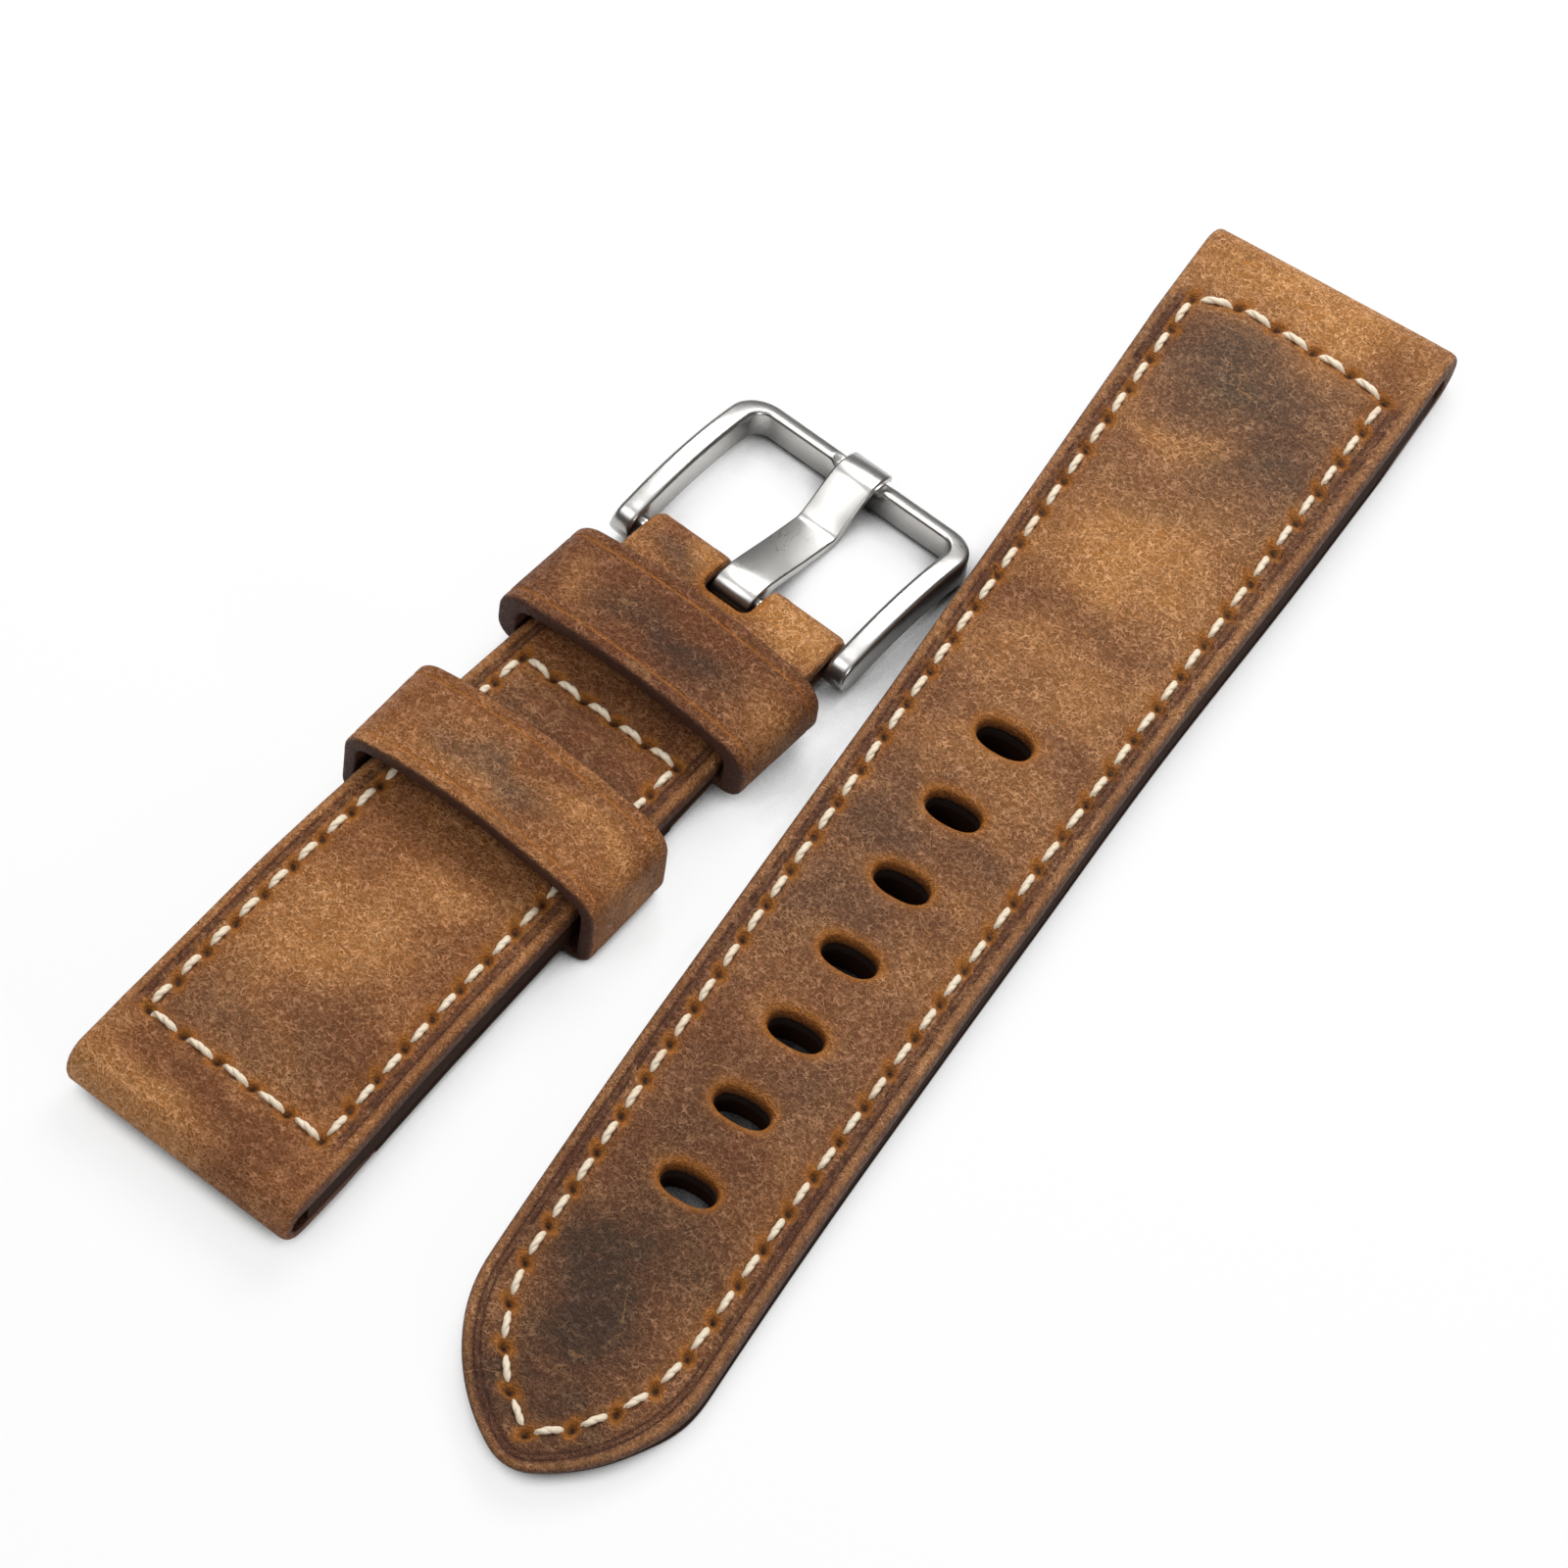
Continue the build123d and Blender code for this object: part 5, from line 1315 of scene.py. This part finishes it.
def strap_half(half, word, body, spot, core_stop, lining_stop, pad_span, tape_span, seed):
    """All pieces of one half."""
    looks = bpy.context.scene.strap_looks
    skin = ready(word + "_grain_leather", leather, (seed, 3 * seed, 0), looks.brown if half.open_end else looks.warm)
    lining = ready("lining_leather", plain_leather, looks.lining, looks.low_edge)
    core = ready("core_board", plain_leather, looks.core, looks.low_edge)
    pad = ready("padding_felt", felt, looks.felt)
    tape = ready("reinforcing_tape", felt, looks.tape)
    cord = ready("waxed_thread", thread)
    place(upper_leather(half, word + "_upper_leather", spot, skin), body, word + "_upper", word + "_top_leather")

    def under_skin(gap):
        """A surface below the upper leather's flesh side."""
        return lambda x, y: half.rim(y) - UPPER_T - gap

    def lining_low(x, y):
        return half.groove(x, y) + rounding(half.edge_distance(x, y), LINING_EDGE_R)

    def core_top(x, y):
        on_tape = smooth((half.seam_distance(x, y) - 0.9) / 0.3) * ((y > tape_span[0] - 0.3) & (y < tape_span[1] + 0.3))
        return half.rim(y) - UPPER_T - 0.01 - (TAPE_T + 0.02) * on_tape

    def pad_top(x, y):
        return half.rim(y) - UPPER_T + np.maximum(half.crown(x, y) - 0.03, 0.08)

    lining_start = LEAF_END + 0.03
    lower = layer(half, word + "_lining_leather", spot, lining, rim_loop(half, lining_start, lining_stop, 0.0),
                  lambda x, y: LINING_T - 0.02, lining_low, 1.4, underside_lines(half, lining_start, lining_stop))
    place(lower, body, word + "_lining", word + "_lining")
    middle = layer(half, word + "_core_board", spot, core, rim_loop(half, 1.0, core_stop, 0.05), core_top,
                   lambda x, y: skived(y) + 0.01, 1.2)
    place(middle, body, word + "_fill", word + "_filler")
    felt_pad = layer(half, word + "_felt_pad", spot, pad, seam_loop(half, 0.9, *pad_span), pad_top,
                     under_skin(-0.01), 1.0, edged=False)
    place(felt_pad, body, word + "_pad", word + "_padding")
    strip_loop = seam_loop(half, 1.2, *tape_span)
    strip = layer(half, word + "_woven_tape", spot, tape, strip_loop, under_skin(0.005), under_skin(TAPE_T), 1.4,
                  edged=False)
    place(strip, body, word + "_tape", word + "_reinforcement")
    punched = OVAL_COUNT * abs(area(oval(0))) if half.open_end else 0
    cut = (abs(area(strip_loop)) - punched) * MM * MM
    stitches = stitch_mesh(half, spot, word + "_thread_stitches", cord, 3)
    place(stitches, body, word + "_thread", word + "_stitching")


class STRAP_OT_long_half(bpy.types.Operator):
    """Builds the long half: upper leather with oval holes, core, lining and stitches"""
    bl_idname = "strap.long_half"
    bl_label = "Long half"

    def execute(self, context):
        strap_half(LONG, "long", "long_half", LONG_SPOT, 131.8, 131.8, (6.9, 123.0), (8.0, 112.0), 4.0)
        return {"FINISHED"}


class STRAP_OT_buckle_half(bpy.types.Operator):
    """Builds the buckle half: upper leather folded round the bar, core, lining and stitches"""
    bl_idname = "strap.buckle_half"
    bl_label = "Buckle half"

    def execute(self, context):
        strap_half(SHORT, "short", "buckle_half", SHORT_SPOT, 54.5, 48.57, (6.9, 50.1), (8.0, 50.0), 1.0)
        return {"FINISHED"}


class STRAP_OT_keepers(bpy.types.Operator):
    """Builds the sliding keeper and the fixed keeper"""
    bl_idname = "strap.keepers"
    bl_label = "Keepers"

    def execute(self, context):
        looks = context.scene.strap_looks
        skin = ready("sliding_keeper_leather", leather, (40, 11, 6), looks.warm, 0.7)
        dark_skin = ready("fixed_keeper_leather", leather, (12, 71, 26), looks.ruddy, 0.2)
        free = keeper("sliding_keeper_loop", skin, 34.45, 9.85, (13.15, -0.93, 9.5, 7.6, 1.9, 3.0),
                      (11.75, -0.1, 8.05, 6.58, 0.4, 1.55), 2.0, FREE_PATCHES)
        place(free, "sliding_keeper", "free_keeper", "free_keeper")
        fixed = keeper("fixed_keeper_loop", dark_skin, 54.05, 9.9, (12.95, 0.7, 8.25, 6.7, 1.9, 3.0),
                       (10.9, 1.8, 6.7, 5.59, 0.4, 1.55), 5.0, FIXED_PATCHES)
        place(fixed, "buckle_half", "fixed_keeper", "fixed_keeper")
        return {"FINISHED"}


class STRAP_OT_buckle(bpy.types.Operator):
    """Builds the steel frame and tongue, and finishes the spring bar"""
    bl_idname = "strap.buckle"
    bl_label = "Buckle"

    def execute(self, context):
        looks = context.scene.strap_looks
        satin = ready("satin_frame_steel", steel, looks.steel, (0.1, 0.1, 1.0))
        blade = ready("satin_tongue_steel", steel, looks.steel, (1.0, 0.08, 0.3))
        bright = ready("turned_bar_steel", steel, looks.steel, (1.0, 0.1, 0.1), 0.18)
        place(buckle_frame(satin), "buckle", "frame_steel", "buckle_frame")
        place(tongue_mesh(blade), "tongue", "tongue_steel", "buckle_tongue")
        for name in ("bar_tube", "bar_pin_left", "bar_pin_right", "bar_spring"):
            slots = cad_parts[name].material_slots
            for s in slots:
                s.material = bright
            if not slots:
                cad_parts[name].data.materials.append(bright)
        return {"FINISHED"}


class STRAP_OT_stage(bpy.types.Operator):
    """Sets the pale floor, the soft lamps and the camera"""
    bl_idname = "strap.stage"
    bl_label = "Stage"

    def execute(self, context):
        scene = context.scene
        self.floor(scene.strap_looks.floor)
        self.sky(scene)
        for name, at, aim, size, power in (
                ("key", (-0.055, 0.29, 0.31), (0.03, 0.09, 0.0), 0.22, 1.2),
                ("overhead", (-0.14, -0.14, 0.38), (0.0, 0.03, 0.0), 0.26, 0.5),
                ("side", (0.33, -0.06, 0.12), (0.02, 0.04, 0.0), 0.14, 0.28)):
            lamp = bpy.data.lights.new(name, "AREA")
            lamp.size = size
            lamp.energy = power
            obj = add_object(name, lamp)
            obj.location = at
            obj.rotation_euler = (Vector(aim) - Vector(at)).to_track_quat("-Z", "Y").to_euler()
        cam = bpy.data.cameras.new("camera")
        cam.lens = 157.5
        cam.sensor_width = 36.0
        cam.clip_start = 0.01
        scene.camera = add_object("camera", cam)
        right, up = (0.782388, 0.616317, 0.089562), (-0.562019, 0.636754, 0.527905)
        turn = Matrix((right, up, (0.268328, -0.463365, 0.844573))).transposed().to_4x4()
        scene.camera.matrix_world = Matrix.Translation((0.166672, -0.203898, 0.475603)) @ turn
        scene.view_settings.view_transform = "Standard"
        return {"FINISHED"}

    def floor(self, shade, reach=1.6, z=-0.00357):
        """A floor that looks white to the camera, with painted shade: its colour and its white glow fade where ambient
        occlusion finds the strap close, under its edges and in its holes.
        """
        mesh = bpy.data.meshes.new("floor")
        corners = ((-reach, -reach, z), (reach, -reach, z), (reach, reach, z), (-reach, reach, z))
        mesh.from_pydata(corners, [], [(0, 1, 2, 3)])
        w = Finish("pale_floor", shade)
        free = w.add("ShaderNodeAmbientOcclusion", {"Distance": 0.006}, samples=8).outputs["AO"]
        seen = w.add("ShaderNodeLightPath").outputs["Is Camera Ray"]
        white = w.add("ShaderNodeEmission", {"Color": (1, 1, 1, 1)}).outputs[0]
        # Painted shade: the floor's colour drops toward black where the strap is close, and its white glow fades there.
        w.fill(w.shader, {"Base Color": w.ramp(free, 0.25, 0.5, 0.01, shade[0], smoothed=False), "Roughness": 0.8})
        glow = w.mul(seen, w.ramp(free, 0.25, 0.6, 0.0, 0.78))
        blend = w.add("ShaderNodeMixShader", {0: glow, 1: w.shader.outputs[0], 2: white})
        w.fill(w.out, {"Surface": blend.outputs[0]})
        mesh.materials.append(w.material)
        add_object("floor", mesh)

    def sky(self, scene):
        """A soft white ceiling that fades to a dim horizon, so that steel and wax show light and dark."""
        scene.world = scene.world or bpy.data.worlds.new("World")
        scene.world.use_nodes = True
        w = Weave(scene.world.node_tree)
        back = next(n for n in w.tree.nodes if n.bl_idname == "ShaderNodeBackground")
        up = w.add("ShaderNodeSeparateXYZ", {0: w.add("ShaderNodeTexCoord").outputs["Generated"]}).outputs["Z"]
        w.fill(back, {"Color": (1, 1, 1, 1), "Strength": w.ramp(up, 0.55, 0.9, 0.05, 0.75)})


class STRAP_PT_panel(bpy.types.Panel):
    """Lists the steps that build the strap"""
    bl_label = "Watch strap"
    bl_space_type = "VIEW_3D"
    bl_region_type = "UI"
    bl_category = "Strap"

    def draw(self, context):
        for step in STEPS:
            self.layout.operator(step.bl_idname)
        for group in (context.scene.strap_sizes, context.scene.strap_looks):
            for name in group.__annotations__:
                self.layout.prop(group, name)


STEPS = (STRAP_OT_long_half, STRAP_OT_buckle_half, STRAP_OT_keepers, STRAP_OT_buckle, STRAP_OT_stage)
CLASSES = (StrapSizes, StrapLooks) + STEPS + (STRAP_PT_panel,)


def register():
    for c in CLASSES:
        bpy.utils.register_class(c)
    bpy.types.Scene.strap_sizes = bpy.props.PointerProperty(type=StrapSizes)
    bpy.types.Scene.strap_looks = bpy.props.PointerProperty(type=StrapLooks)


def unregister():
    del bpy.types.Scene.strap_sizes
    del bpy.types.Scene.strap_looks
    for c in reversed(CLASSES):
        bpy.utils.unregister_class(c)


def main():
    register()
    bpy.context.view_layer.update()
    bpy.ops.strap.long_half()
    bpy.ops.strap.buckle_half()
    bpy.ops.strap.keepers()
    bpy.ops.strap.buckle()
    bpy.ops.strap.stage()


if __name__ == "__main__":
    main()
